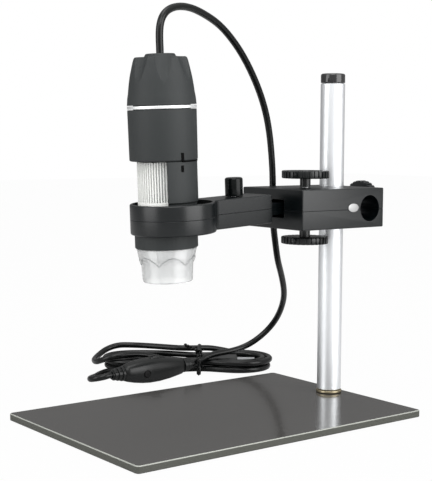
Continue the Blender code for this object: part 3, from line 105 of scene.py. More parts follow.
# Clamp block, placed from the post's axis
CLAMP_LOW = Vector((-0.0454, -0.0286, 0.0935))
CLAMP_HIGH = Vector((0.0099, 0.0180, 0.1135))
CLAMP_SEAM = 0.1029
SEAM_CHAMFER = 0.0001
CROSS_BORE_HEIGHT = 0.1033
SLOT_HALF_WIDTH = 0.0093
SLOT_FLOOR = 0.09905
SLOT_ROOF = 0.1082
SLOT_END = 0.0066        # slot's inner end past the pivot
CASE_SCREW_INSET = 0.0054
CASE_SCREW_BORE = 0.0013
CASE_SCREW_BITE = 0.0053
CASE_HEAD_BORE = 0.0023
CASE_HEAD_DEPTH = 0.0020
BADGE_PLACE = -0.01155   # from the post's axis
BADGE_HEIGHT = 0.1038
BADGE_RADIUS = 0.0022
BADGE_STRETCH = 1.60     # its width against its height
BADGE_BACK = 0.0001
BADGE_THICKNESS = 0.0004
BADGE_CROWN = 0.0005

# Thumbscrews
PIVOT = Vector((-0.0232, -0.0053, 0))    # axis of the upper and lower one, from the post's axis
SIDE_SCREW_HEIGHT = 0.1040
THUMBSCREW_BORE = 0.0023
THUMBSCREW_SEAT = 0.0025
TOP_KNOB_FACE = 0.11815
TOP_KNOB_THICKNESS = 0.00395
BOTTOM_KNOB_FACE = 0.08835
BOTTOM_KNOB_THICKNESS = 0.00355
SIDE_KNOB_FACE = 0.0200  # from the post's axis
SIDE_KNOB_THICKNESS = 0.0042
KNOB_TOOTH_DEPTH = 0.0006
KNOB_EDGE = 0.0005
KNOB_HUB_RADIUS = 0.00275
KNOB_HUB_ROOT = 0.0006   # how far the hub runs into the knob
KNOB_DISH_RADII = (0.0085, 0.0092)
KNOB_DISH_DEPTH = 0.0004

# Arm, in its own frame: origin on the pivot, the head lies along -X
ARM_HEIGHT = 0.1056
ARM_SWING = math.radians(4.39)
ARM_DROOP = math.radians(2.67)
ARM_HALF_WIDTH = 0.00894
ARM_HALF_HEIGHT = 0.0070
ARM_SHOULDER = 0.0324
ARM_EDGE = 0.0007
ARM_FILLET = 0.0050
TONGUE_HALF_WIDTH = 0.0050
TONGUE_TOP = 0.0019
TONGUE_BOTTOM = -0.0037
TONGUE_HOLE_RADIUS = 0.0025
RING_DISTANCE = 0.0875
RING_RADIUS = 0.0199
RING_BORE = 0.0185
ARM_SCREW_DISTANCES = (0.0364, 0.0636)
ARM_KNOB_DISTANCE = 0.0490
ARM_KNOB_RADIUS = 0.00435
ARM_KNOB_TOP = 0.0162
ARM_KNOB_EDGE = 0.0010
STUD_BORE = 0.0018
STUD_RISE = 0.0050
STUD_HEAD_BORE = 0.0031
STUD_HEAD_DEPTH = 0.0022

# Head, in its own frame: origin on the head's axis, level with the ring's middle
HEAD_SHIFT_X = -0.0032
HEAD_SHIFT_Y = 0.0015
FRONT_HEADING = 230.8    # way from the head's axis to the photograph's camera, in degrees
MARK_TURN = 33           # marks' way round from there, in degrees
BARREL_RADIUS = 0.0146
BARREL_BORE = 0.0130
BARREL_BOTTOM = -0.0133
SPINE_RADIUS = 0.01535
SPINE_FOOT = 0.0071
SPINE_START = 0.0080
SPINE_TOP = 0.0264
SPINE_HEADING = 322      # in degrees
NECK_RADIUS = 0.0139
NECK_TOP = 0.0330
SEAM_SHADE_LINE_RADIUS = 0.00035
WAVE_SHADE_LINE_RADIUS = 0.00012
LEDGE_RADIUS = 0.0092
LEDGE_TOPS = (0.0284, 0.0054, -0.0031)
LEDGE_THICKNESS = 0.0015
WINDOW_SILL = 0.0056
WINDOW_TOP = SPINE_TOP + GAP
WINDOW_OPENING = math.radians(190)
WINDOW_REACH = 0.0310
WHEEL_BORE = 0.0090
WHEEL_FILL = 0.5         # share of the pitch from a rib's start to its groove
BODY_BOTTOM = 0.0267
BODY_TOP = 0.0499
BODY_RADIUS_BOTTOM = 0.0157
BODY_RADIUS_TOP = 0.01586
BODY_ROUNDING = 0.0007
BODY_BORE = 0.0142
BAND_BOTTOM = BODY_TOP + GAP
BAND_TOP = 0.0516
BAND_RADIUS = 0.0159
GRIP_BOTTOM = BAND_TOP + GAP
GRIP_SIDES = 168         # a multiple of the flutes
GRIP_SKIRT_RADIUS = 0.0131
GRIP_SKIRT_BORE = 0.0115
GRIP_SKIRT_DEPTH = 0.0060
GRIP_HOLLOW_TOP = 0.0600
HEAD_TOP = 0.0750
FLUTE_RADIUS = 0.0060
FLUTE_DEPTH = 0.0018
FLUTE_FADE = 0.0645      # height where a flute runs out
FLUTE_HEADING = math.radians(237)
FLUTE_SHARES = (0.893, 0.765)    # of the cap's radius, where a flute runs out and at its deep end
HOOD_FACETS = 6
HOOD_FIRST_VALLEY = math.radians(-147.1)

# Focusing wheel: radius, depth of its grooves and height
WHEEL_RINGS = ((0.0124, 0, 0.0060), (0.0126, 0, 0.0062), (0.0126, 0, 0.0077), (0.0125, 0, 0.0079),
               (0.0124, 0.0007, 0.0081), (0.0124, 0.0007, 0.0262))

# Grip cap: shares of its radius and of its height
GRIP_SHARES = ((1.000, 0.0), (0.993, 0.06), (0.985, 0.13), (0.972, 0.185), (0.958, 0.24), (0.937, 0.36),
               (0.917, 0.46), (0.893, 0.56), (0.872, 0.63), (0.849, 0.70), (0.829, 0.765), (0.808, 0.83),
               (0.789, 0.88), (0.770, 0.912), (0.750, 0.928), (0.730, 0.934))

# Hood: radius and height, from the foot's inner rim outwards, up and back down inside
HOOD_PROFILE = ((0.0105, -0.0291), (0.0113, -0.0291), (0.0116, -0.0287), (0.0123, -0.0200),
                (0.0128, -0.0189), (0.0133, -0.0178), (0.0137, -0.0157), (0.0140, -0.0138),
                (0.0138, -0.0136), (0.0127, -0.0136), (0.0127, -0.0068), (0.0116, -0.0068),
                (0.0116, -0.0178), (0.0112, -0.0200))

# Controller, in its own frame: origin in its middle
CONTROLLER_PLACE = (0.0222, 0.0893, 0.00735)
CONTROLLER_LENGTH = 0.0400
CONTROLLER_HALF_HEIGHT = 0.00715
CONTROLLER_HALF_DEPTH = 0.0060
CONTROLLER_POINTS = 64
CONTROLLER_POWER = 4 / 5     # squareness of its sections: 1 is an ellipse
DIMMER_PLACE = 0.0015
DIMMER_RADIUS = 0.0070
DIMMER_PROUD = 0.0012
DIMMER_RISE = CONTROLLER_HALF_HEIGHT + DIMMER_PROUD - DIMMER_RADIUS
DIMMER_HALF_THICKNESS = 0.0020
DIMMER_TOOTH_DEPTH = 0.0004
DIMMER_EDGE = 0.0004
DIMMER_PIN_BORE = 0.0013
DIMMER_PIN_REACH = 0.0043
BUTTON_PLACE = -0.0076
BUTTON_DROP = 0.0009
BUTTON_FRONT = -0.0063
BUTTON_RADIUS = 0.0019
BUTTON_DEPTH = 0.0022
BUTTON_TRAVEL = 0.0005
BOARD_LOW = (0.0096, -0.0008, -0.0033)
BOARD_HIGH = (0.0172, 0.0008, 0.0033)
RELIEF_PLACE = CONTROLLER_LENGTH / 2 + GAP
RELIEF_LEFT_LENGTH = 0.0074
RELIEF_RIGHT_LENGTH = 0.0055
RELIEF_ROOT_RADIUS = 0.0041
RELIEF_TAPER = 0.0014
RELIEF_RIB_PITCH = 0.0024
RELIEF_RIB_DEPTH = 0.0007

# Controller's sections: shares of its length, its height and its depth
CONTROLLER_SHARES = ((0.0, 0.52, 0.60), (0.015, 0.62, 0.70), (0.06, 0.70, 0.80), (0.16, 0.83, 0.92),
                     (0.30, 0.95, 1.0), (0.42, 1.0, 1.0), (0.58, 0.98, 1.0), (0.74, 0.88, 0.95),
                     (0.88, 0.74, 0.84), (0.96, 0.66, 0.74), (0.988, 0.58, 0.66), (1.0, 0.48, 0.56))

# Lead, hank, tie and plug, the last three in the hank's frame with X along it
CORD_RADIUS = 0.00175
CORD_END_RUN = 0.0035
HANK_PLACE = (0.0600, 0.1100, 0)
HANK_YAW = math.radians(-37.2)
HANK_TURNS = 3.5
HANK_POINTS = 72         # points in one turn
HANK_HALF_RUN = 0.0327
HANK_HALF_WIDTH = 0.01925
HANK_PITCH = 0.0044
HANK_LAYER = 0.00395
HANK_REST = 0.00255      # height of the lowest turns' middle
HANK_WAIST = 0.0082
HANK_WAIST_DRAW = 0.0070
HANK_WAIST_REACH = 0.0240
HANK_RUN_SHARE = 0.27
TIE_MIDDLE = -0.0043
TIE_TOP = 0.0131
TIE_HALF_WIDTH = 0.0191
TIE_CORNER = 0.0030
TIE_SIDE_INSET = 0.0003  # from the tie's outside in to its strands' middle line
TIE_TOP_INSET = 0.0010
TIE_STRAND_RADIUS = 0.00062
TIE_END_RADIUS = 0.00055
TIE_KNOT_RADIUS = 0.0006
PLUG_MIDDLE = Vector((0.0086, -0.0005, 0.0039))
PLUG_END = 0.0224
SHELL_START = 0.0184
SHELL_END = 0.0329
SHELL_HALF_WIDTH = 0.0060
SHELL_HALF_HEIGHT = 0.00225
SHELL_CORNER = 0.0006
SHELL_BORE_CORNER = 0.0004
SHELL_WALL = 0.0003
SHELL_WINDOW = (0.0258, 0.0280)      # its start and end along the plug
SHELL_WINDOW_OFFSET = 0.0026
SHELL_WINDOW_HALF_WIDTH = 0.0010

# Plug's moulding: place along it, half width, half height and corner
PLUG_SECTIONS = ((0, 0.0026, 0.0026, 0.0026), (0.0084, 0.0032, 0.0032, 0.0031),
                 (0.0100, 0.0042, 0.0034, 0.0024), (0.0116, 0.0064, 0.0037, 0.0014),
                 (0.0126, 0.00725, 0.0038, 0.0010), (0.0219, 0.00725, 0.0038, 0.0010),
                 (PLUG_END, 0.0068, 0.0033, 0.0009))

# Camera at the photograph's view
CAMERA_PLACE = (-0.33924, -0.44500, 0.13771)
CAMERA_AZIMUTH = math.radians(-37.23)
CAMERA_ELEVATION = math.radians(5.03)
CAMERA_ROLL = math.radians(-0.3)
CAMERA_LENS = 95.76      # in millimetres, on a sensor 36 wide

# Frames of the sub-parts
FOOT_FRAME = Matrix.Translation(POST)
ARM_FRAME = (Matrix.Translation(POST + PIVOT + UP * ARM_HEIGHT) @ Matrix.Rotation(ARM_SWING, 4, 'Z')
             @ Matrix.Rotation(-ARM_DROOP, 4, 'Y'))
HEAD_FRAME = ARM_FRAME @ Matrix.Translation((HEAD_SHIFT_X - RING_DISTANCE, HEAD_SHIFT_Y, 0))
CONTROLLER_FRAME = Matrix.Translation(CONTROLLER_PLACE)
HANK_FRAME = Matrix.Translation(HANK_PLACE) @ Matrix.Rotation(HANK_YAW, 4, 'Z')
DIMMER_FRAME = (CONTROLLER_FRAME @ Matrix.Translation((DIMMER_PLACE, 0, DIMMER_RISE))
                @ Matrix.Rotation(math.pi / 2, 4, 'X'))

# Routes of the lead's free stretches, in the part's frame
LEAD_ARC_ROUTE = (
    (-0.0422, -0.0105, 0.1873), (-0.0406, -0.0099, 0.1932), (-0.0348, -0.0076, 0.1972),
    (-0.0268, -0.0045, 0.1992), (-0.0170, -0.0007, 0.1994), (-0.0063, 0.0034, 0.1975),
    (0.0064, 0.0083, 0.1938), (0.0189, 0.0132, 0.1871), (0.0291, 0.0171, 0.1794),
    (0.0385, 0.0207, 0.1699), (0.0464, 0.0238, 0.1599), (0.0519, 0.0259, 0.1497),
    (0.0554, 0.0273, 0.1391), (0.0572, 0.0279, 0.1285), (0.0585, 0.0284, 0.1183))
LEAD_SLACK_ROUTE = (
    (0.0593, 0.0292, 0.1055), (0.0603, 0.0301, 0.0982), (0.0618, 0.0313, 0.0900),
    (0.0660, 0.0343, 0.0803), (0.0708, 0.0382, 0.0714), (0.0804, 0.0460, 0.0616),
    (0.0893, 0.0540, 0.0516), (0.0950, 0.0610, 0.0445), (0.0982, 0.0670, 0.0381),
    (0.1003, 0.0730, 0.0319), (0.1004, 0.0790, 0.0256))
LEAD_LOW_ROUTE = (
    (0.0975, 0.0840, 0.0198), (0.0925, 0.0875, 0.0152), (0.0850, 0.0900, 0.0122),
    (0.0755, 0.0906, 0.0113), (0.0665, 0.0910, 0.0112), (0.0605, 0.0906, 0.0100),
    (0.0554, 0.0902, 0.0082))
CONTROLLER_LEAD_ROUTE = (
    (-0.0099, 0.0898, 0.0068), (-0.0134, 0.0926, 0.0059), (-0.0137, 0.0977, 0.0048),
    (-0.0098, 0.1040, 0.0037), (-0.0030, 0.1105, 0.0027), (0.0030, 0.1155, 0.00255),
    (0.0095, 0.1192, 0.00255), (0.0150, 0.1198, 0.00255))
# Last stretch, in the hank's frame: over the hank, round its left end and down its middle
PLUG_LEAD_ROUTE = (
    (0.0220, 0.0178, 0.0082), (0.0140, 0.0143, 0.0100), (0.0050, 0.0107, 0.0105),
    (-0.0040, 0.0110, 0.0105), (-0.0140, 0.0145, 0.0105), (-0.0240, 0.0180, 0.0105),
    (-0.0330, 0.0200, 0.0105), (-0.0420, 0.0195, 0.0105), (-0.0490, 0.0155, 0.0088),
    (-0.0535, 0.0080, 0.0062), (-0.0550, -0.0005, 0.0052), (-0.0530, -0.0085, 0.0056),
    (-0.0490, -0.0140, 0.0076), (-0.0430, -0.0160, 0.0099), (-0.0355, -0.0140, 0.0106),
    (-0.0280, -0.0105, 0.0104), (-0.0200, -0.0075, 0.0088), (-0.0120, -0.0050, 0.0064),
    (-0.0040, -0.0025, 0.0044), (0.0020, -0.0009, 0.0039))


# Materials

def surface(name, colour, roughness, metallic=0.0, grain=0.02, grain_size=0.0004, spread=0.02,
            gloss=0.5, transmission=0.0, ior=1.5, coat=0.0, coat_roughness=0.12, coat_ior=1.5):
    """A Principled material with fine bump and a little roughness change on Object coordinates."""
    name = f"look_{name}"
    found = bpy.data.materials.get(name)
    if found:
        return found
    made = bpy.data.materials.new(name)
    made.use_nodes = True
    nodes, links = made.node_tree.nodes, made.node_tree.links
    shader = nodes["Principled BSDF"]
    shader.inputs["Base Color"].default_value = (*colour, 1)
    for socket, value in (("Roughness", roughness), ("Metallic", metallic), ("Specular IOR Level", gloss),
                          ("Transmission Weight", transmission), ("IOR", ior), ("Coat Weight", coat),
                          ("Coat Roughness", coat_roughness), ("Coat IOR", coat_ior)):
        shader.inputs[socket].default_value = value
    place = nodes.new("ShaderNodeTexCoord")
    noise = nodes.new("ShaderNodeTexNoise")
    noise.inputs["Scale"].default_value = 1 / grain_size
    noise.inputs["Detail"].default_value = 3
    links.new(place.outputs["Object"], noise.inputs["Vector"])
    bump = nodes.new("ShaderNodeBump")
    bump.inputs["Strength"].default_value = grain
    bump.inputs["Distance"].default_value = grain_size
    links.new(noise.outputs["Fac"], bump.inputs["Height"])
    links.new(bump.outputs["Normal"], shader.inputs["Normal"])
    ramp = nodes.new("ShaderNodeMapRange")
    ramp.inputs["To Min"].default_value = roughness - spread
    ramp.inputs["To Max"].default_value = roughness + spread
    links.new(noise.outputs["Fac"], ramp.inputs["Value"])
    links.new(ramp.outputs["Result"], shader.inputs["Roughness"])
    return made


# Shapes

def rod(shape, radius, start, end, sides=ROD_SIDES):
    start, end = Vector(start), Vector(end)
    along = end - start
    turn = UP.rotation_difference(along).to_matrix().to_4x4()
    bmesh.ops.create_cone(shape, cap_ends=True, segments=sides, radius1=radius, radius2=radius,
                          depth=along.length, matrix=Matrix.Translation((start + end) / 2) @ turn)


def rod_shape(*sizes):
    shape = bmesh.new()
    rod(shape, *sizes)
    return shape


def block(low, high):
    shape = bmesh.new()
    low, high = Vector(low), Vector(high)
    bmesh.ops.create_cube(shape, size=1, matrix=Matrix.Translation((low + high) / 2)
                          @ Matrix.Diagonal((*(high - low), 1)))
    return shape

def turned(profile, sides=DISC_SIDES):
    """A profile of (radius, height) pairs turned round Z."""
    shape = bmesh.new()
    corners = [shape.verts.new((radius, 0, height)) for radius, height in profile]
    edges = []
    for first, second in zip(corners, corners[1:] + corners[:1]):
        if first.co.x > 0 or second.co.x > 0:
            edges.append(shape.edges.new((first, second)))
    bmesh.ops.spin(shape, geom=corners + edges, axis=UP, cent=ORIGIN, steps=sides,
                   angle=math.tau, use_merge=True, use_duplicate=False)
    bmesh.ops.remove_doubles(shape, verts=shape.verts, dist=WELD)
    return shape


def skin(outlines):
    """Lofts one solid through a stack of outlines with equal counts, by repeated extrusion."""
    shape = bmesh.new()
    end = shape.faces.new([shape.verts.new(point) for point in outlines[0]])
    first = end
    for outline in outlines[1:]:
        made = bmesh.ops.extrude_face_region(shape, geom=[end])["geom"]
        if end is not first:
            shape.faces.remove(end)
        end = next(item for item in made if isinstance(item, bmesh.types.BMFace))
        for corner, point in zip(end.verts, outline):
            corner.co = point
    return shape


def upper_corner(radius, height, size, way=1):
    """Profile points of a rounded outer corner whose tips lie at radius and height."""
    points = []
    for step in range(CORNER_STEPS + 1):
        angle = math.pi / 2 * step / CORNER_STEPS
        points.append((radius - size * (1 - math.cos(angle)), height - way * size * (1 - math.sin(angle))))
    return points


def lower_corner(radius, height, size):
    return upper_corner(radius, height, size, -1)[::-1]


def upright(edge):
    first, second = (corner.co for corner in edge.verts)
    return abs(first.z - second.z) > max(abs(first.x - second.x), abs(first.y - second.y))


def at_height(edge, height):
    return all(abs(corner.co.z - height) < WELD for corner in edge.verts)


def bevel_edges(shape, edges, width, segments):
    bmesh.ops.bevel(shape, geom=edges, offset=width, offset_type='OFFSET', affect='EDGES',
                    segments=segments, profile=0.5, material=-1)


def crease(mesh, angle=CREASE):
    mesh.shade_smooth()
    mesh.set_sharp_from_angle(angle=math.radians(angle))


def piece(name, shape, material, place=None, hidden=False):
    """A bmesh as an object at the origin, its points moved by place."""
    if place:
        bmesh.ops.transform(shape, matrix=place, verts=shape.verts)
    bmesh.ops.recalc_face_normals(shape, faces=shape.faces)
    mesh = bpy.data.meshes.new(name)
    shape.to_mesh(mesh)
    shape.free()
    crease(mesh)
    made = bpy.data.objects.new(name, mesh)
    bpy.context.scene.collection.objects.link(made)
    if material:
        mesh.materials.append(material)
    if hidden:
        made.hide_render = True
        made.display_type = 'WIRE'
    return made


def combine(target, shape, place=None, operation='DIFFERENCE'):
    """Cuts a shape from a piece or joins it on; used up by settle."""
    step = target.modifiers.new("boolean", 'BOOLEAN')
    step.operation = operation
    step.solver = 'EXACT'
    step.object = piece(f"{target.name}_tool", shape, None, place, hidden=True)


def drill(target, radius, spot, low, high, place, sides=ROD_SIDES):
    """Cuts an upright hole; spot is its x and y in the frame that place gives."""
    combine(target, rod_shape(radius, (*spot, low), (*spot, high), sides), place)


def settle(target, edge=0.0, angle=40, crease_angle=CREASE):
    """Applies a piece's Booleans, then rounds its sharp edges by edge."""
    tools = [step.object for step in target.modifiers]
    bpy.context.view_layer.update()
    ready = target.evaluated_get(bpy.context.evaluated_depsgraph_get())
    mesh = bpy.data.meshes.new_from_object(ready)
    target.modifiers.clear()
    target.data = mesh
    for tool in tools:
        bpy.data.objects.remove(tool, do_unlink=True)
    if edge:
        soften(target, edge, angle)
    else:
        crease(mesh, crease_angle)


def soften(target, edge, angle):
    target.data.shade_smooth()
    step = target.modifiers.new("rounding", 'BEVEL')
    step.width = edge
    step.segments = 2
    step.limit_method = 'ANGLE'
    step.angle_limit = math.radians(angle)
    step.harden_normals = True
    step.use_clamp_overlap = True


def place_on(made, body, *nodes, slot=None):
    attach(made, body)
    if nodes:
        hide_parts(*nodes)


def repaint(material, *names):
    """Gives CAD nodes that stay a better material."""
    for name in names:
        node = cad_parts[name]
        for holder in node.material_slots:
            holder.material = material


def toothed(radius, depth, teeth, height, fill=0.55, slope=0.08):
    """A ring of points with flat-topped teeth and slightly sloping sides."""
    points = []
    for index in range(teeth):
        for share, low in ((0, 0), (fill - slope, 0), (fill, 1), (1 - slope, 1)):
            angle = math.tau * (index + share) / teeth
            reach = radius - depth * low
            points.append((reach * math.cos(angle), reach * math.sin(angle), height))
    return points


def toothed_disc(radius, depth, teeth, low, high, edge):
    """A serrated disc whose rims draw in by edge."""
    levels = ((edge, low), (edge / 4, low + edge / 3), (0, low + edge),
              (0, high - edge), (edge / 4, high - edge / 3), (edge, high))
    return skin([toothed(radius - inset, depth, teeth, height) for inset, height in levels])


def smooth_points(route, step):
    """Points about a step apart on a smooth curve; the first and last stretches stay straight."""
    route = [Vector(point) for point in route]
    fine = []
    for index in range(1, len(route) - 2):
        before, start, end, after = route[index - 1:index + 3]
        pieces = max(2, round((end - start).length / step))
        for part in range(pieces):
            t = part / pieces
            fine.append(0.5 * (2 * start + (end - before) * t
                               + (2 * before - 5 * start + 4 * end - after) * t ** 2
                               + (3 * start - before - 3 * end + after) * t ** 3))
    return [route[0]] + fine + [route[-2], route[-1]]


def relax(points, rounds):
    """Evens out a route's small wobbles while its ends stay."""
    for _ in range(rounds):
        inner = zip(points[1:], points[2:-2], points[3:])
        points = points[:2] + [(before + 2 * here + after) / 4 for before, here, after in inner] + points[-2:]
    return points


def tube(name, points, radius, material, sides=8):
    """A round tube along points, made by a bevelled curve and kept as a mesh."""
    curve = bpy.data.curves.new(name, 'CURVE')
    curve.dimensions = '3D'
    curve.bevel_depth = radius
    curve.bevel_resolution = sides // 2 - 2
    curve.use_fill_caps = True
    line = curve.splines.new('POLY')
    line.points.add(len(points) - 1)
    for target, point in zip(line.points, points):
        target.co = (*point, 1)
    route = bpy.data.objects.new(name, curve)
    bpy.context.scene.collection.objects.link(route)
    bpy.context.view_layer.update()
    ready = route.evaluated_get(bpy.context.evaluated_depsgraph_get())
    mesh = bpy.data.meshes.new_from_object(ready)
    bpy.data.objects.remove(route, do_unlink=True)
    shape = bmesh.new()
    shape.from_mesh(mesh)
    bmesh.ops.remove_doubles(shape, verts=shape.verts, dist=WELD)
    return piece(name, shape, material)


def waist_width(along):
    """The hank's half width at a place along it; the tie draws it in."""
    away = min(abs(along - HANK_WAIST) / HANK_WAIST_REACH, 1)
    return HANK_HALF_WIDTH - HANK_WAIST_DRAW * math.cos(math.pi / 2 * away) ** 2


def hank_point(turns):
    """A point of the hank after some turns: the spiral runs in, climbs a layer and runs out."""
    inward = HANK_PITCH * min(turns, HANK_TURNS - turns)
    climb = min(max((turns - HANK_TURNS / 2 + 1 / 4) * 2, 0), 1)
    height = HANK_REST + HANK_LAYER * climb ** 2 * (3 - 2 * climb)
    share = turns % 1
    back = share >= 1 / 2
    share -= back / 2
    if share < HANK_RUN_SHARE:
        place = HANK_HALF_RUN * (2 * share / HANK_RUN_SHARE - 1) * (-1 if back else 1)
        return Vector((place, (1 if back else -1) * (waist_width(place) - inward), height))
    angle = math.pi * ((share - HANK_RUN_SHARE) / (1 / 2 - HANK_RUN_SHARE) - 1 / 2)
    radius = HANK_HALF_WIDTH - inward
    along, across = HANK_HALF_RUN + radius * math.cos(angle), radius * math.sin(angle)
    return Vector((-along, -across, height)) if back else Vector((along, across, height))


# Settings

def colour(name, description, value):
    return FloatVectorProperty(name=name, description=description, default=value, size=3,
                               subtype='COLOR', min=0, max=1)


def length(name, description, value):
    return FloatProperty(name=name, description=description, default=value, unit='LENGTH', min=0)


class MICROSCOPE_PG_cord(bpy.types.PropertyGroup):
    radius: length("Cord Radius", "Radius of the lead", CORD_RADIUS)
    step: length("Point Step", "Distance between points along the lead", 0.0012)
    sides: IntProperty(name="Cord Sides", description="Sides of the lead's tube", default=16, min=8)
    jacket: colour("Jacket", "Colour of the lead's jacket", (0.0015, 0.0020, 0.0020))


class MICROSCOPE_PG_stand(bpy.types.PropertyGroup):
    paint: colour("Plate Paint", "Colour of the plate's faces", (0.050, 0.048, 0.046))
    edge_paint: colour("Plate Edge", "Colour of the plate's edge band", (0.058, 0.060, 0.050))
    metal: colour("Post Metal", "Colour of the polished post", (0.93, 0.95, 0.97))
    edge: length("Plate Edge Bevel", "Bevel along the plate's edges", 0.0004)


class MICROSCOPE_PG_clamp(bpy.types.PropertyGroup):
    plastic: colour("Clamp Plastic", "Colour of the clamp and arm", (0.0010, 0.0024, 0.0030))
    corner: length("Clamp Corner", "Radius of the clamp's upright corners", 0.0007)
    rounding: length("Clamp Rounding", "Rounding of the clamp's outer edges", 0.0006)
    knob_radius: length("Knob Radius", "Radius of the serrated knobs", 0.0121)
    knob_teeth: IntProperty(name="Knob Teeth", description="Teeth round each knob", default=30, min=8)


class MICROSCOPE_PG_head(bpy.types.PropertyGroup):
    rubber: colour("Head Rubber", "Colour of the head's soft-touch coat", (0.0135, 0.0165, 0.0170))
    wheel: colour("Wheel", "Colour of the milky focusing wheel", (0.97, 0.98, 0.95))
    ribs: IntProperty(name="Wheel Ribs", description="Ribs round the focusing wheel", default=60, min=12)
    flutes: IntProperty(name="Cap Flutes", description="Flutes round the grip cap", default=7, min=3)


class MICROSCOPE_PG_controller(bpy.types.PropertyGroup):
    plastic: colour("Controller Plastic", "Colour of the controller's shells", (0.0020, 0.0027, 0.0027))
    dimmer_teeth: IntProperty(name="Dimmer Teeth", description="Teeth round the dimmer", default=24, min=8)


class MICROSCOPE_PG_stage(bpy.types.PropertyGroup):
    left: FloatProperty(name="Left Softbox", description="Radiance of the tall softbox on the left",
                        default=2.4, min=0)
    right: FloatProperty(name="Right Softbox", description="Radiance of the tall softbox on the right",
                         default=3.1, min=0)
    high: FloatProperty(name="High Softbox", description="Radiance of the softbox high in front", default=3.0,
                        min=0)
    top: FloatProperty(name="Top Softbox", description="Radiance of the softbox above", default=2.0, min=0)
    sky: FloatProperty(name="Sky", description="Strength of the surroundings", default=0.70, min=0)


class MICROSCOPE_PG_settings(bpy.types.PropertyGroup):
    cord: PointerProperty(type=MICROSCOPE_PG_cord)
    stand: PointerProperty(type=MICROSCOPE_PG_stand)
    clamp: PointerProperty(type=MICROSCOPE_PG_clamp)
    head: PointerProperty(type=MICROSCOPE_PG_head)
    controller: PointerProperty(type=MICROSCOPE_PG_controller)
    stage: PointerProperty(type=MICROSCOPE_PG_stage)


def black_plastic(settings):
    return surface("black_plastic", tuple(settings.clamp.plastic), 0.29, grain_size=0.0005, spread=0.04)


def polished(settings):
    return surface("polished_metal", tuple(settings.stand.metal), 0.42, metallic=1, grain_size=0.003,
                   spread=0.03)


def rubber(settings):
    return surface("grey_rubber", tuple(settings.head.rubber), 0.62, grain=0.12, grain_size=0.0003,
                   spread=0.05)


def jacket(settings):
    return surface("cord_jacket", tuple(settings.cord.jacket), 0.24, grain=0.03, grain_size=0.0006,
                   gloss=0.32)


def steel():
    return surface("screw_steel", (0.42, 0.42, 0.43), 0.32, metallic=1)


# Camera, lead, hank, plug and tie

def make_camera(_settings):
    """The photograph's view, as solved from the plate and the post."""
    data = bpy.data.cameras.new("camera")
    camera = bpy.data.objects.new("camera", data)
    bpy.context.scene.collection.objects.link(camera)
    data.sensor_fit = 'HORIZONTAL'
    data.sensor_width = 36
    data.lens = CAMERA_LENS
    data.clip_start = 0.01
    back = Vector((math.sin(CAMERA_AZIMUTH) * math.cos(CAMERA_ELEVATION),
                   -math.cos(CAMERA_AZIMUTH) * math.cos(CAMERA_ELEVATION), math.sin(CAMERA_ELEVATION)))
    right = UP.cross(back).normalized()
    turn = Matrix((right, back.cross(right), back)).transposed() @ Matrix.Rotation(-CAMERA_ROLL, 3, 'Z')
    camera.matrix_world = Matrix.Translation(CAMERA_PLACE) @ turn.to_4x4()
    bpy.context.scene.camera = camera


def relief_spots(way, *distances):
    """Points on the controller's axis, this far from its middle on one side."""
    return [CONTROLLER_FRAME @ Vector((way * distance, 0, 0)) for distance in distances]


def make_cords(settings):
    """The lead from the head to the controller, and the hank with its tie and plug."""
    make_lead(settings.cord, jacket(settings))
    make_hank(settings, jacket(settings))


def make_lead(cord, coat):
    """The lead's stretches, split where it passes from body to body; a stretch on a single body is attached
    to it.
    """
    head_exit = [HEAD_FRAME @ Vector((0, 0, HEAD_TOP + reach)) for reach in (GAP, CORD_END_RUN)]
    relief_tip = RELIEF_PLACE + RELIEF_RIGHT_LENGTH
    lead = smooth_points([*head_exit, *LEAD_ARC_ROUTE, *LEAD_SLACK_ROUTE, *LEAD_LOW_ROUTE,
                          *relief_spots(1, relief_tip + CORD_RADIUS, relief_tip)], cord.step)
    lead = relax(lead, rounds=30)
    ends = [0]
    for route in (LEAD_ARC_ROUTE, LEAD_SLACK_ROUTE[:7], LEAD_LOW_ROUTE[:3]):
        goal = Vector(route[-1])
        ends.append(min(range(len(lead)), key=lambda index: (lead[index] - goal).length))
    ends.append(len(lead) - 1)
    stretches = (("lead_over_arm", ("clamp", "arm"), "lead_arc"),
                 ("lead_behind_clamp", ("clamp", "post"), "lead_slack"),
                 ("lead_falling", ("post", "stand"), "lead_slack"),
                 ("lead_to_controller", ("stand",), "lead_low"))
    for (name, holders, node), start, stop in zip(stretches, ends, ends[1:]):
        points = lead[start:stop + 1]
        made = tube(name, points, cord.radius, coat, cord.sides)
        if len(holders) == 1:
            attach(made, holders[0])
        elif name == "lead_over_arm":
            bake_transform(made)
        else:
            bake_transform(made)
        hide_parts(node)


def make_hank(settings, coat):
    """The lead on from the controller, wound in a hank, with its plug and tie."""
    cord = settings.cord
    count = round(HANK_TURNS * HANK_POINTS)
    loops = [hank_point(HANK_TURNS * index / count) for index in range(count + 1)]
    run = Vector((CORD_END_RUN, 0, 0))
    loops = [HANK_FRAME @ point for point in [loops[0] - run] + loops + [loops[-1] - run]]
    relief_tip = RELIEF_PLACE + RELIEF_LEFT_LENGTH
    first = smooth_points([*relief_spots(-1, relief_tip, relief_tip + CORD_RADIUS), *CONTROLLER_LEAD_ROUTE,
                           loops[0], loops[1]], cord.step)[:-2]
    last_route = [HANK_FRAME @ Vector(point) for point in PLUG_LEAD_ROUTE]
    plug = [HANK_FRAME @ (PLUG_MIDDLE - Vector((reach, 0, 0))) for reach in (CORD_RADIUS, 0)]
    last = smooth_points([loops[-2], loops[-1], *last_route, *plug], cord.step)[2:]
    wound = first + relax(loops + last, rounds=6)
    made = tube("lead_hank", wound, cord.radius, coat, cord.sides)
    place_on(made, "stand", "controller_lead", "cord_hank", "plug_lead", slot="cord_jacket")
    grip, shell = make_plug(settings)
    tie = make_tie(settings)


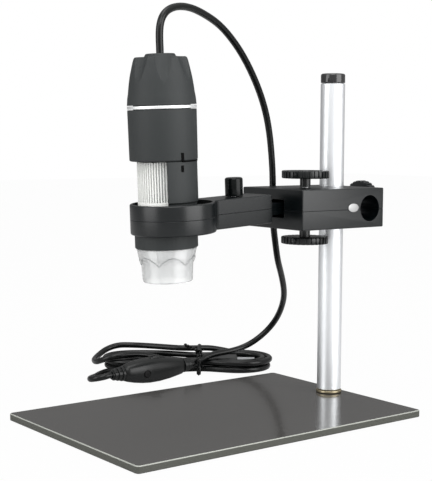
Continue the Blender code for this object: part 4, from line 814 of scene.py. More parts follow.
def rounded_outline(half_width, half_height, corner, place, steps=6):
    points = []
    for centre_y, centre_z, first in ((1, 1, 0), (-1, 1, 1), (-1, -1, 2), (1, -1, 3)):
        for step in range(steps + 1):
            angle = math.pi / 2 * (first + step / steps)
            points.append((place, centre_y * (half_width - corner) + corner * math.cos(angle),
                           centre_z * (half_height - corner) + corner * math.sin(angle)))
    return points


def rounded_bar(half_width, half_height, corner, start, end):
    return skin([rounded_outline(half_width, half_height, corner, place) for place in (start, end)])


def make_plug(settings):
    """Moulded plug with its tail, and the open metal shell."""
    place = HANK_FRAME @ Matrix.Translation(PLUG_MIDDLE)
    grip = piece("plug_moulding", skin([rounded_outline(*sizes, along) for along, *sizes in PLUG_SECTIONS]),
                 black_plastic(settings), place)
    combine(grip, rounded_bar(SHELL_HALF_WIDTH + GAP, SHELL_HALF_HEIGHT + GAP, SHELL_BORE_CORNER,
                              SHELL_START - GAP, PLUG_END + OVERRUN), place)
    settle(grip)
    place_on(grip, "stand", "plug_grip", slot="black_plastic")
    shell = piece("plug_metal", rounded_bar(SHELL_HALF_WIDTH, SHELL_HALF_HEIGHT, SHELL_CORNER, SHELL_START,
                                            SHELL_END), polished(settings), place)
    combine(shell, rounded_bar(SHELL_HALF_WIDTH - SHELL_WALL, SHELL_HALF_HEIGHT - SHELL_WALL,
                               SHELL_BORE_CORNER, SHELL_START + SHELL_WALL, SHELL_END + OVERRUN), place)
    for side in (-1, 1):
        middle = side * SHELL_WINDOW_OFFSET
        combine(shell, block(
            (SHELL_WINDOW[0], middle - SHELL_WINDOW_HALF_WIDTH, -SHELL_HALF_HEIGHT - OVERRUN),
            (SHELL_WINDOW[1], middle + SHELL_WINDOW_HALF_WIDTH, SHELL_HALF_HEIGHT + OVERRUN)), place)
    settle(shell)
    place_on(shell, "stand", "plug_shell", slot="polished_metal")
    return grip, shell


def tie_strand_points(place, phase):
    """One of the two twisted strands round the hank."""
    line = rounded_outline(TIE_HALF_WIDTH - TIE_SIDE_INSET, TIE_TOP / 2 - TIE_TOP_INSET, TIE_CORNER, 0)
    line = smooth_points([line[-1], *line, line[0], line[1]], step=0.0007)
    points_per_twist = 9
    along, outwards = 0.0007, 0.00025    # how far a strand swings either way
    points = []
    for index, spot in enumerate(line):
        angle = math.tau * index / points_per_twist + phase
        away = Vector((0, spot.y, spot.z)).normalized()
        points.append(place @ (spot + Vector((along * math.cos(angle), 0, 0))
                               + away * outwards * math.sin(angle)))
    return points


def tie_end_points(place, phase):
    """One strand of the short tail that stands off the knot."""
    steps, twists = 60, 3
    radius, length, rise = 0.0006, 0.0092, 0.0042
    side = -0.0112       # its place across the hank
    points = []
    for step in range(steps + 1):
        share = step / steps
        angle = math.tau * twists * share + phase
        points.append(place @ Vector((radius - length * share, side + radius * math.cos(angle),
                                      TIE_TOP / 2 + radius * math.sin(angle) + rise * share)))
    return points


def tie_knot_points(place):
    """The wire's turns round itself at the foot of the tail."""
    steps, turns = 48, 2.5
    radius, width, drop = 0.0015, 0.0022, 0.0002
    side = -0.0122
    points = []
    for step in range(steps + 1):
        angle = math.tau * turns * step / steps
        points.append(place @ Vector((radius * math.cos(angle), side + width * step / steps,
                                      TIE_TOP / 2 - drop + radius * math.sin(angle))))
    return points


def make_tie(settings):
    """Twisted wire tie round the hank, knotted on top with a short tail."""
    place = HANK_FRAME @ Matrix.Translation((HANK_WAIST, TIE_MIDDLE, TIE_TOP / 2))
    lines = []
    for side in (0, 1):
        phase = math.pi * side
        lines.append((f"tie_strand_{side + 1}", tie_strand_points(place, phase), TIE_STRAND_RADIUS))
        lines.append((f"tie_end_{side + 1}", tie_end_points(place, phase), TIE_END_RADIUS))
    lines.append(("tie_knot", tie_knot_points(place), TIE_KNOT_RADIUS))
    pieces = []
    for name, points, radius in lines:
        made = tube(name, points, radius, jacket(settings))
        place_on(made, "stand", *(("twist_tie",) if name == "tie_strand_1" else ()), slot="cord_jacket")
        pieces.append(made)
    return pieces


# Stand

def make_plate(stand):
    """The painted plate, its matt edge band and a painted highlight along its upper rim."""
    half_length, half_depth = PLATE_LENGTH / 2, PLATE_DEPTH / 2
    face = surface("plate_paint", tuple(stand.paint), 0.14, grain_size=0.0060)
    band = surface("plate_edge", tuple(stand.edge_paint), 0.55, grain=0.35, grain_size=0.0005)
    # Lighter grey on the upper rim's bevel: a painted highlight where light catches the edge.
    line = surface("plate_line", (0.34, 0.35, 0.32), 0.4)
    shape = block((-half_length, -half_depth, 0), (half_length, half_depth, PLATE_THICKNESS))
    bevel_edges(shape, [edge for edge in shape.edges if upright(edge)], PLATE_CORNER, 8)
    rims = [edge for edge in shape.edges if at_height(edge, 0) or at_height(edge, PLATE_THICKNESS)]
    bevel_edges(shape, rims, stand.edge, 2)
    plate = piece("plate", shape, face)
    above = PLATE_THICKNESS + OVERRUN
    combine(plate, turned([
        (0, -OVERRUN), (POST_SCREW_HEAD_BORE, -OVERRUN), (POST_SCREW_HEAD_BORE, GAP),
        (POST_SCREW_BORE, POST_SCREW_HEAD_TOP), (POST_SCREW_BORE, above), (0, above)]), FOOT_FRAME)
    settle(plate, crease_angle=20)
    # Narrow up-tilted faces of the upper rim take the painted highlight.
    steep, flat, narrow = 0.3, 0.95, 0.00008
    plate.data.materials.append(band)
    plate.data.materials.append(line)
    for polygon in plate.data.polygons:
        if abs(polygon.normal.z) < steep:
            polygon.material_index = 1
        elif (steep <= polygon.normal.z < flat and polygon.area < narrow
              and polygon.center.z > PLATE_THICKNESS / 2):
            polygon.material_index = 2
    place_on(plate, "stand", "base_plate", slot="plate_paint")


def make_stand(settings):
    """Plate, collar, post and cap."""
    make_plate(settings.stand)
    brass = surface("brass", (0.42, 0.36, 0.24), 0.34, metallic=1)
    low = PLATE_THICKNESS + GAP
    high = low + COLLAR_HEIGHT
    collar = piece("collar", turned([
        (POST_SCREW_BORE, low), *lower_corner(COLLAR_RADIUS, low, FINE_EDGE),
        *upper_corner(COLLAR_RADIUS, high, EDGE), (POST_SCREW_BORE, high)]), brass, FOOT_FRAME)
    place_on(collar, "stand", "post_collar", slot="brass")

    cap_low = POST_TOP - CAP_HEIGHT
    high = cap_low - GAP
    screw_end = POST_BOTTOM + POST_SCREW_BORE_DEPTH
    spigot_bore, spigot_end = CAP_SPIGOT_RADIUS + GAP, high - CAP_SPIGOT_LENGTH - GAP
    post = piece("round_post", turned([
        (0, screw_end), (POST_SCREW_BORE, screw_end), (POST_SCREW_BORE, POST_BOTTOM),
        (POST_RADIUS - POST_CHAMFER, POST_BOTTOM), (POST_RADIUS, POST_BOTTOM + POST_CHAMFER),
        (POST_RADIUS, high - POST_CHAMFER), (POST_RADIUS - POST_CHAMFER, high), (spigot_bore, high),
        (spigot_bore, spigot_end), (0, spigot_end)], ROUND_SIDES), polished(settings), FOOT_FRAME)
    place_on(post, "post", "post", slot="polished_metal")
    gloss = surface("gloss_black", (0.010, 0.010, 0.011), 0.18, coat=0.5)
    cap = piece("post_end_cap", turned([
        (0, cap_low - CAP_SPIGOT_LENGTH), (CAP_SPIGOT_RADIUS, cap_low - CAP_SPIGOT_LENGTH),
        (CAP_SPIGOT_RADIUS, cap_low), *lower_corner(POST_RADIUS, cap_low, FINE_EDGE),
        *upper_corner(POST_RADIUS, POST_TOP, CAP_ROUNDING), (0, POST_TOP)], ROUND_SIDES), gloss, FOOT_FRAME)
    place_on(cap, "post", "post_cap", slot="gloss_black")
    repaint(steel(), "post_screw")


# Clamp and thumbscrews

def clamp_half(name, outer, seam, settings):
    """One shell of the clamp between its outer face's height and the seam's."""
    low, high = sorted((outer, seam))
    shape = block((CLAMP_LOW.x, CLAMP_LOW.y, low), (CLAMP_HIGH.x, CLAMP_HIGH.y, high))
    bevel_edges(shape, [edge for edge in shape.edges if upright(edge)], settings.clamp.corner, 8)
    bevel_edges(shape, [edge for edge in shape.edges if at_height(edge, outer)], settings.clamp.rounding, 6)
    bevel_edges(shape, [edge for edge in shape.edges if at_height(edge, seam)], SEAM_CHAMFER, 1)
    return piece(name, shape, black_plastic(settings), FOOT_FRAME)


def make_clamp(settings):
    """The split clamp with its bores and slot, and the bare badge."""
    bore = POST_RADIUS + GAP
    lower = clamp_half("clamp_bottom", CLAMP_LOW.z, CLAMP_SEAM - SEAM_GAP / 2, settings)
    upper = clamp_half("clamp_top", CLAMP_HIGH.z, CLAMP_SEAM + SEAM_GAP / 2, settings)
    below, above = CLAMP_LOW.z - OVERRUN, CLAMP_HIGH.z + OVERRUN
    for shell in (lower, upper):
        drill(shell, bore, (0, 0), below, above, FOOT_FRAME, ROUND_SIDES)
        combine(shell, rod_shape(bore, (0, CLAMP_LOW.y - OVERRUN, CROSS_BORE_HEIGHT),
                                 (0, CLAMP_HIGH.y + OVERRUN, CROSS_BORE_HEIGHT), ROUND_SIDES), FOOT_FRAME)
        combine(shell, block((CLAMP_LOW.x - OVERRUN, PIVOT.y - SLOT_HALF_WIDTH, SLOT_FLOOR),
                             (PIVOT.x + SLOT_END, PIVOT.y + SLOT_HALF_WIDTH, SLOT_ROOF)), FOOT_FRAME)
        drill(shell, THUMBSCREW_BORE, PIVOT.xy, below, above, FOOT_FRAME)
        combine(shell, rod_shape(THUMBSCREW_BORE, (0, 0, SIDE_SCREW_HEIGHT),
                                 (CLAMP_HIGH.x + OVERRUN, 0, SIDE_SCREW_HEIGHT)), FOOT_FRAME)
    for x in (CLAMP_LOW.x + CASE_SCREW_INSET, -POST_RADIUS - CASE_SCREW_INSET):
        for y in (CLAMP_LOW.y + CASE_SCREW_INSET, CLAMP_HIGH.y - CASE_SCREW_INSET):
            drill(lower, CASE_HEAD_BORE, (x, y), below, CLAMP_LOW.z + CASE_HEAD_DEPTH, FOOT_FRAME)
            drill(lower, CASE_SCREW_BORE, (x, y), below, CLAMP_SEAM + OVERRUN, FOOT_FRAME, SMALL_SIDES)
            drill(upper, CASE_SCREW_BORE, (x, y), CLAMP_SEAM - OVERRUN, CLAMP_SEAM + CASE_SCREW_BITE,
                  FOOT_FRAME, SMALL_SIDES)
    settle(lower, EDGE)
    settle(upper, EDGE)
    place_on(lower, "clamp", "clamp_lower", slot="black_plastic")
    place_on(upper, "clamp", "clamp_upper", slot="black_plastic")

    badge_place = (Matrix.Translation((POST.x + BADGE_PLACE, POST.y + CLAMP_LOW.y, BADGE_HEIGHT))
                   @ Matrix.Rotation(math.pi / 2, 4, 'X') @ Matrix.Diagonal((BADGE_STRETCH, 1, 1, 1)))
    badge = piece("bare_badge", turned([
        (0, BADGE_BACK), *upper_corner(BADGE_RADIUS, BADGE_THICKNESS, FINE_EDGE), (0, BADGE_CROWN)]),
        surface("badge_silver", (0.42, 0.42, 0.42), 0.40, metallic=1), badge_place)
    place_on(badge, "clamp", slot="polished_metal")
    repaint(steel(), "clamp_screw_1", "clamp_screw_2", "clamp_screw_3", "clamp_screw_4",
            "arm_screw_1", "arm_screw_2", "arm_stud", "dimmer_pin")


def make_thumbscrews(settings):
    """Three serrated knobs with their hubs; the screws stay as they are."""
    clamp = settings.clamp
    screws = (
        ("top", Matrix.Translation(POST + PIVOT + UP * TOP_KNOB_FACE), TOP_KNOB_THICKNESS,
         TOP_KNOB_FACE - CLAMP_HIGH.z - GAP),
        ("bottom", Matrix.Translation(POST + PIVOT + UP * BOTTOM_KNOB_FACE)
         @ Matrix.Rotation(math.pi, 4, 'Y'), BOTTOM_KNOB_THICKNESS, CLAMP_LOW.z - GAP - BOTTOM_KNOB_FACE),
        ("side", Matrix.Translation(POST + Vector((SIDE_KNOB_FACE, 0, SIDE_SCREW_HEIGHT)))
         @ Matrix.Rotation(math.pi / 2, 4, 'Y'), SIDE_KNOB_THICKNESS, SIDE_KNOB_FACE - CLAMP_HIGH.x - GAP))
    for name, place, thickness, hub in screws:
        knob = piece(f"{name}_serrated_knob", toothed_disc(
            clamp.knob_radius, KNOB_TOOTH_DEPTH, clamp.knob_teeth, 0, thickness, KNOB_EDGE),
            black_plastic(settings), place)
        combine(knob, rod_shape(KNOB_HUB_RADIUS, (0, 0, -hub), (0, 0, KNOB_HUB_ROOT)), place, 'UNION')
        drill(knob, THUMBSCREW_BORE, (0, 0), -hub - OVERRUN, THUMBSCREW_SEAT, place)
        dish, above = thickness - KNOB_DISH_DEPTH, thickness + OVERRUN / 2
        combine(knob, turned([(0, dish), (KNOB_DISH_RADII[0], dish), (KNOB_DISH_RADII[1], above),
                              (0, above)]), place)
        settle(knob)
        place_on(knob, f"{name}_thumbscrew", f"{name}_knob", slot="black_plastic")
    repaint(steel(), "top_knob_screw", "bottom_knob_screw", "side_knob_screw")


# Arm

def arm_outline(inset, height):
    """The arm's bar and ring seen from above."""
    half = ARM_HALF_WIDTH - inset
    reach = RING_RADIUS - inset
    fillet = ARM_FILLET + inset
    fillet_y = half + fillet
    fillet_x = -RING_DISTANCE + math.sqrt((reach + fillet) ** 2 - fillet_y ** 2)
    touch = math.atan2(fillet_y, fillet_x + RING_DISTANCE)
    shoulder = -ARM_SHOULDER - inset
    points = [(shoulder, half)]
    steps, ring_steps = 10, 120
    for step in range(steps + 1):
        angle = -math.pi / 2 - (math.pi / 2 - touch) * step / steps
        points.append((fillet_x + fillet * math.cos(angle), fillet_y + fillet * math.sin(angle)))
    for step in range(1, ring_steps):
        angle = touch + (math.tau - 2 * touch) * step / ring_steps
        points.append((-RING_DISTANCE + reach * math.cos(angle), reach * math.sin(angle)))
    for step in range(steps, -1, -1):
        angle = math.pi / 2 + (math.pi / 2 - touch) * step / steps
        points.append((fillet_x + fillet * math.cos(angle), -fillet_y + fillet * math.sin(angle)))
    points.append((shoulder, -half))
    return [(x, y, height) for x, y in points]


def tongue_outline(height, steps=24):
    """The arm's tongue seen from above: straight sides and a round end about the pivot."""
    root = -ARM_SHOULDER - OVERRUN
    points = [(root, -TONGUE_HALF_WIDTH)]
    for step in range(steps + 1):
        angle = -math.pi / 2 + math.pi * step / steps
        points.append((TONGUE_HALF_WIDTH * math.cos(angle), TONGUE_HALF_WIDTH * math.sin(angle)))
    points.append((root, TONGUE_HALF_WIDTH))
    return [(x, y, height) for x, y in points]


def arm_half(name, side, settings):
    """One shell of the arm with its share of the tongue; side is 1 for the upper one."""
    seam, outer = side * SEAM_GAP / 2, side * ARM_HALF_HEIGHT
    levels = [(SEAM_CHAMFER, seam), (0, seam + side * SEAM_CHAMFER)]
    for step in range(CORNER_STEPS + 1):
        angle = math.pi / 2 * step / CORNER_STEPS
        levels.append((ARM_EDGE * (1 - math.cos(angle)), outer - side * ARM_EDGE * (1 - math.sin(angle))))
    shell = piece(name, skin([arm_outline(inset, height) for inset, height in levels]),
                  black_plastic(settings), ARM_FRAME)
    low, high = sorted((seam, TONGUE_TOP if side > 0 else TONGUE_BOTTOM))
    combine(shell, skin([tongue_outline(height) for height in (low, high)]), ARM_FRAME, 'UNION')
    bottom, top = -ARM_HALF_HEIGHT - OVERRUN, OVERRUN
    if side > 0:
        bottom, top = low - OVERRUN, ARM_HALF_HEIGHT + OVERRUN
    drill(shell, RING_BORE, (-RING_DISTANCE, 0), bottom, top, ARM_FRAME, FINE_SIDES)
    drill(shell, TONGUE_HOLE_RADIUS, (0, 0), bottom, top, ARM_FRAME)
    drill(shell, STUD_BORE, (-ARM_KNOB_DISTANCE, 0), bottom, top, ARM_FRAME)
    return shell


def make_arm(settings):
    """The arm's shells, the round knob and the pad in the ring."""
    upper = arm_half("arm_top", 1, settings)
    lower = arm_half("arm_bottom", -1, settings)
    below = -ARM_HALF_HEIGHT - OVERRUN
    drill(lower, STUD_HEAD_BORE, (-ARM_KNOB_DISTANCE, 0), below, STUD_HEAD_DEPTH - ARM_HALF_HEIGHT, ARM_FRAME)
    for distance in ARM_SCREW_DISTANCES:
        spot = (-distance, 0)
        drill(lower, CASE_HEAD_BORE, spot, below, CASE_HEAD_DEPTH - ARM_HALF_HEIGHT, ARM_FRAME)
        drill(lower, CASE_SCREW_BORE, spot, below, OVERRUN, ARM_FRAME, SMALL_SIDES)
        drill(upper, CASE_SCREW_BORE, spot, -OVERRUN / 2, CASE_SCREW_BITE, ARM_FRAME, SMALL_SIDES)
    settle(upper, EDGE)
    settle(lower, EDGE)
    place_on(upper, "arm", "arm_upper", slot="black_plastic")
    place_on(lower, "arm", "arm_lower", slot="black_plastic")
    foot = ARM_HALF_HEIGHT + GAP
    knob = piece("arm_round_knob", turned([
        (0, foot + STUD_RISE), (STUD_BORE, foot + STUD_RISE), (STUD_BORE, foot),
        *lower_corner(ARM_KNOB_RADIUS, foot, FINE_EDGE),
        *upper_corner(ARM_KNOB_RADIUS, ARM_KNOB_TOP, ARM_KNOB_EDGE), (0, ARM_KNOB_TOP)]),
        surface("knob_black", (0.002, 0.003, 0.003), 0.16, gloss=0.2),
        ARM_FRAME @ Matrix.Translation((-ARM_KNOB_DISTANCE, 0, 0)))
    place_on(knob, "arm_knob", "arm_knob", slot="black_plastic")
    repaint(rubber(settings), "holder_pad")


# Head

def make_barrel(coat):
    """Barrel with its bore, three ledges inside and the window opposite its spine."""
    inside = []
    for top in LEDGE_TOPS:
        bottom = top - LEDGE_THICKNESS
        inside += [(BARREL_BORE, top), (LEDGE_RADIUS, top), (LEDGE_RADIUS, bottom), (BARREL_BORE, bottom)]
    barrel = piece("head_barrel", turned([
        (BARREL_BORE, BARREL_BOTTOM), *lower_corner(BARREL_RADIUS, BARREL_BOTTOM, EDGE),
        (BARREL_RADIUS, SPINE_FOOT), (SPINE_RADIUS, SPINE_START),
        *upper_corner(SPINE_RADIUS, SPINE_TOP, EDGE), (NECK_RADIUS, SPINE_TOP), (NECK_RADIUS, NECK_TOP),
        (BARREL_BORE, NECK_TOP), *inside], HEAD_SIDES), coat, HEAD_FRAME)
    heading, steps = math.radians(SPINE_HEADING + 180), 8
    wedge = [(0, 0)]
    for step in range(steps + 1):
        angle = heading + WINDOW_OPENING * (step / steps - 1 / 2)
        wedge.append((WINDOW_REACH * math.cos(angle), WINDOW_REACH * math.sin(angle)))
    combine(barrel, skin([[(x, y, height) for x, y in wedge] for height in (WINDOW_SILL, WINDOW_TOP)]),
            HEAD_FRAME)
    settle(barrel)
    place_on(barrel, "head", "lower_barrel", slot="grey_rubber")


def make_wheel(head):
    """Milky focusing wheel with painted shade in the grooves between its ribs."""
    milky = surface("milky_wheel", tuple(head.wheel), 0.32, transmission=0.25, ior=1.45)
    wheel = piece("ribbed_wheel", skin([toothed(radius, depth, head.ribs, height, WHEEL_FILL)
                                        for radius, depth, height in WHEEL_RINGS]), milky, HEAD_FRAME)
    drill(wheel, WHEEL_BORE, (0, 0), WHEEL_RINGS[0][2] - OVERRUN, WHEEL_RINGS[-1][2] + OVERRUN, HEAD_FRAME,
          DISC_SIDES)
    settle(wheel)
    # Darker grey on the grooves' upright faces: painted shade where the ribs keep light out.
    wheel.data.materials.append(surface("wheel_groove", (0.34, 0.35, 0.35), 0.5))
    nearest, farthest = 0.0100, 0.0119   # a groove's floor lies between these radii
    foot, steep = 0.0080, 0.5            # above the wheel's collar, and upright
    for polygon in wheel.data.polygons:
        centre = HEAD_FRAME.inverted() @ polygon.center
        if nearest < centre.xy.length < farthest and centre.z > foot and abs(polygon.normal.z) < steep:
            polygon.material_index = 1
    place_on(wheel, "focus_wheel", "focus_wheel", slot="white_translucent")


def make_head(settings):
    """Barrel with its window, focusing wheel, upper body, band, grip cap, hood and marks."""
    coat = rubber(settings)
    make_barrel(coat)
    make_wheel(settings.head)
    body = piece("head_body", turned([
        (BODY_BORE, BODY_BOTTOM), *lower_corner(BODY_RADIUS_BOTTOM, BODY_BOTTOM, BODY_ROUNDING),
        *upper_corner(BODY_RADIUS_TOP, BODY_TOP, EDGE), (BODY_BORE, BODY_TOP)], HEAD_SIDES), coat, HEAD_FRAME)
    place_on(body, "head", "upper_body", slot="grey_rubber")
    band_bore = GRIP_SKIRT_RADIUS + GAP
    band = piece("bright_band", turned([
        (band_bore, BAND_BOTTOM), *lower_corner(BAND_RADIUS, BAND_BOTTOM, FINE_EDGE),
        *upper_corner(BAND_RADIUS, BAND_TOP, FINE_EDGE), (band_bore, BAND_TOP)], HEAD_SIDES),
        surface("band_metal", (0.94, 0.95, 0.95), 0.45, metallic=1), HEAD_FRAME)
    place_on(band, "head", "silver_band", slot="polished_metal")
    make_grip_cap(settings.head, coat)
    make_hood()
    make_optics(settings)
    make_marks()


def make_marks():
    """Two short upright marks on the head, and a black line in the open seam round the top of the spine as
    painted shade.
    """
    angle = math.radians(FRONT_HEADING + MARK_TURN)
    along = Vector((math.cos(angle), math.sin(angle), 0))
    turn = Matrix((along, UP.cross(along), UP)).transposed().to_4x4()
    # One black serves the two marks and the painted shade line in the seam.
    paint = surface("mark_paint", (0.001, 0.001, 0.001), 0.6, gloss=0.05)
    sunk, proud, half_width = 0.0003, 0.0002, 0.00065
    for name, reach, height, tall in (("upper_mark", 0.0158, 0.0286, 0.0035),
                                      ("lower_mark", SPINE_RADIUS, 0.0232, 0.0030)):
        mark = piece(name, block((-sunk, -half_width, -tall / 2), (proud, half_width, tall / 2)), paint,
                     HEAD_FRAME @ Matrix.Translation(along * reach + UP * height) @ turn)
        place_on(mark, "head", slot="black_plastic")
    # A black tube laid in the open seam round the spine's top: painted shade for the dark gap.
    seam_radius, seam_step, seam_points = 0.01528, 0.08, 16
    seam = []
    for step in range(seam_points):
        turned_by = angle + step * seam_step
        seam.append(HEAD_FRAME @ Vector((seam_radius * math.cos(turned_by), seam_radius * math.sin(turned_by),
                                         SPINE_TOP)))
    place_on(tube("open_seam", seam, SEAM_SHADE_LINE_RADIUS, paint), "head", slot="black_plastic")


def make_grip_cap(head, coat):
    """Grip cap with fading flutes and the raised boss round the lead."""
    outside = [(BAND_RADIUS * radius, GRIP_BOTTOM + (HEAD_TOP - GRIP_BOTTOM) * rise)
               for radius, rise in GRIP_SHARES]
    shoulder = outside[-1][1]
    skirt_end = GRIP_BOTTOM - GRIP_SKIRT_DEPTH
    boss = ((0.0078, shoulder), (0.0072, shoulder + 0.0004), (0.0070, shoulder + 0.0009),
            (0.0067, HEAD_TOP - 0.0002), (0.0064, HEAD_TOP))
    lead_hole = ((0.0026, HEAD_TOP), (0.0022, HEAD_TOP - 0.0006), (0, HEAD_TOP - 0.0006))
    cap = piece("grip_cap", turned([
        (GRIP_SKIRT_BORE, skirt_end), (GRIP_SKIRT_RADIUS, skirt_end), (GRIP_SKIRT_RADIUS, GRIP_BOTTOM),
        *outside, *boss, *lead_hole, (0, GRIP_HOLLOW_TOP), (GRIP_SKIRT_BORE, GRIP_HOLLOW_TOP)], GRIP_SIDES),
        coat, HEAD_FRAME)
    start = Vector((BAND_RADIUS * FLUTE_SHARES[0] + FLUTE_RADIUS, 0, FLUTE_FADE))
    end = Vector((BAND_RADIUS * FLUTE_SHARES[1] - FLUTE_DEPTH + FLUTE_RADIUS, 0, shoulder))
    along = (end - start).normalized() * (2 * FLUTE_RADIUS)
    flutes = bmesh.new()
    for index in range(head.flutes):
        turn = Matrix.Rotation(FLUTE_HEADING + math.tau * index / head.flutes, 3, 'Z')
        rod(flutes, FLUTE_RADIUS, turn @ (start - along), turn @ (end + along), ROUND_SIDES)
    combine(cap, flutes, HEAD_FRAME)
    settle(cap, FINE_EDGE, angle=24)
    place_on(cap, "head", "head_cap", slot="grey_rubber")


def clear_plastic():
    """Clear plastic whose coat is shaded as an upright wall, so that it holds tall highlights."""
    clear = surface("clear_plastic", (0.90, 0.91, 0.91), 0.18, transmission=0.62, ior=1.55, coat=1.0,
                    coat_roughness=0.2, coat_ior=1.8)
    nodes, links = clear.node_tree.nodes, clear.node_tree.links
    facing = nodes.new("ShaderNodeNewGeometry")
    level = nodes.new("ShaderNodeVectorMath")
    level.operation = 'MULTIPLY'
    level.inputs[1].default_value = (1, 1, 0)
    links.new(facing.outputs["Normal"], level.inputs[0])
    unit = nodes.new("ShaderNodeVectorMath")
    unit.operation = 'NORMALIZE'
    links.new(level.outputs["Vector"], unit.inputs[0])
    links.new(unit.outputs["Vector"], nodes["Principled BSDF"].inputs["Coat Normal"])
    return clear


def make_hood():
    """Clear stepped hood with facets moulded round its shoulder, and a grey wavy line over them as painted
    shade along their edge.
    """
    shape = turned(HOOD_PROFILE, FINE_SIDES)
    depth = 0.0004
    least_reach, low, high = 0.0122, -0.0201, -0.0150    # the shoulder, where the facets are
    for corner in shape.verts:
        reach = corner.co.xy.length
        if reach > least_reach and low < corner.co.z < high:
            angle = math.atan2(corner.co.y, corner.co.x) - HOOD_FIRST_VALLEY
            dent = depth * abs(math.sin(angle * HOOD_FACETS / 2))
            corner.co.xy *= (reach - dent) / reach
    place_on(piece("clear_cup", shape, clear_plastic(), HEAD_FRAME), "hood", "clear_hood",
             slot="clear_plastic")
    # A thin grey tube over the facets' wavy edge: painted shade for how that edge shows in the clear plastic.
    steps = 160
    valley_radius, swell = 0.0122, 0.0011
    valley_height, rise = -0.0212, 0.0039
    wave = []
    for step in range(steps + 1):
        angle = math.tau * step / steps
        lift = abs(math.sin(angle * HOOD_FACETS / 2))
        reach = valley_radius + swell * lift
        wave.append(HEAD_FRAME @ Vector((reach * math.cos(angle + HOOD_FIRST_VALLEY),
                                         reach * math.sin(angle + HOOD_FIRST_VALLEY),
                                         valley_height + rise * lift)))
    line = tube("hood_wave", wave, WAVE_SHADE_LINE_RADIUS, surface("wave_grey", (0.22, 0.23, 0.23), 0.4))
    place_on(line, "hood", slot="clear_plastic")


def make_optics(settings):
    """Finishes of the pieces inside the head, the controller and the plug."""
    repaint(black_plastic(settings), "lens_tube")
    repaint(surface("lens_glass", (0.25, 0.30, 0.38), 0.05, coat=1.0), "objective_lens")
    repaint(surface("circuit_board", (0.75, 0.77, 0.76), 0.45), "led_board")
    repaint(surface("green_board", (0.03, 0.16, 0.07), 0.45), "sensor_board", "controller_board")
    repaint(surface("chip", (0.03, 0.03, 0.035), 0.35), "image_sensor")
    repaint(surface("white_insert", (0.80, 0.80, 0.78), 0.45), "plug_tongue")


# Controller

def controller_section(length_share, height_share, depth_share):
    points = []
    for index in range(CONTROLLER_POINTS):
        angle = math.tau * index / CONTROLLER_POINTS
        across, up = math.cos(angle), math.sin(angle)
        points.append((
            CONTROLLER_LENGTH * (length_share - 1 / 2),
            CONTROLLER_HALF_DEPTH * depth_share * math.copysign(abs(across) ** CONTROLLER_POWER, across),
            CONTROLLER_HALF_HEIGHT * height_share * math.copysign(abs(up) ** CONTROLLER_POWER, up)))
    return points


def controller_shell(name, side, plastic):
    """Half of the controller's body, cut for the dimmer, its pin, the board and the button."""
    shape = skin([controller_section(*shares) for shares in CONTROLLER_SHARES])
    cut = bmesh.ops.bisect_plane(shape, geom=shape.verts[:] + shape.edges[:] + shape.faces[:],
                                 plane_co=(0, side * GAP / 2, 0), plane_no=(0, -side, 0), clear_outer=True)
    rim = [item for item in cut["geom_cut"] if isinstance(item, bmesh.types.BMEdge)]
    bmesh.ops.contextual_create(shape, geom=rim)
    shell = piece(f"controller_{name}_shell", shape, plastic, CONTROLLER_FRAME)
    for radius, reach, sides in (
            (DIMMER_RADIUS + RUNNING_GAP, DIMMER_HALF_THICKNESS + GAP, DISC_SIDES),
            (DIMMER_PIN_BORE, DIMMER_PIN_REACH, SMALL_SIDES)):
        combine(shell, rod_shape(radius, (DIMMER_PLACE, -reach, DIMMER_RISE),
                                 (DIMMER_PLACE, reach, DIMMER_RISE), sides), CONTROLLER_FRAME)
    combine(shell, block(BOARD_LOW, BOARD_HIGH), CONTROLLER_FRAME)
    if name == "front":
        button_well = BUTTON_FRONT + BUTTON_DEPTH + BUTTON_TRAVEL + GAP
        combine(shell, rod_shape(BUTTON_RADIUS + GAP, (BUTTON_PLACE, BUTTON_FRONT - OVERRUN, -BUTTON_DROP),
                                 (BUTTON_PLACE, button_well, -BUTTON_DROP)), CONTROLLER_FRAME)
    settle(shell, FINE_EDGE, angle=50)
    place_on(shell, "stand", f"controller_{name}", slot="black_plastic")


def relief_profile(run):
    """Half section of a strain relief: ribs that grow smaller towards its tip."""
    ribs = round(run / RELIEF_RIB_PITCH)
    step = run / ribs
    profile = [(0, 0)]
    for index in range(ribs):
        share = index / ribs
        radius = RELIEF_ROOT_RADIUS - RELIEF_TAPER * share
        low = run * share
        profile += [(radius - drop, low + step * rise) for drop, rise in (
            (FINE_EDGE, 0), (0, 0.08), (0, 0.58), (FINE_EDGE, 0.66), (RELIEF_RIB_DEPTH, 0.70),
            (RELIEF_RIB_DEPTH, 1))]
    return [*profile, (0, run)]


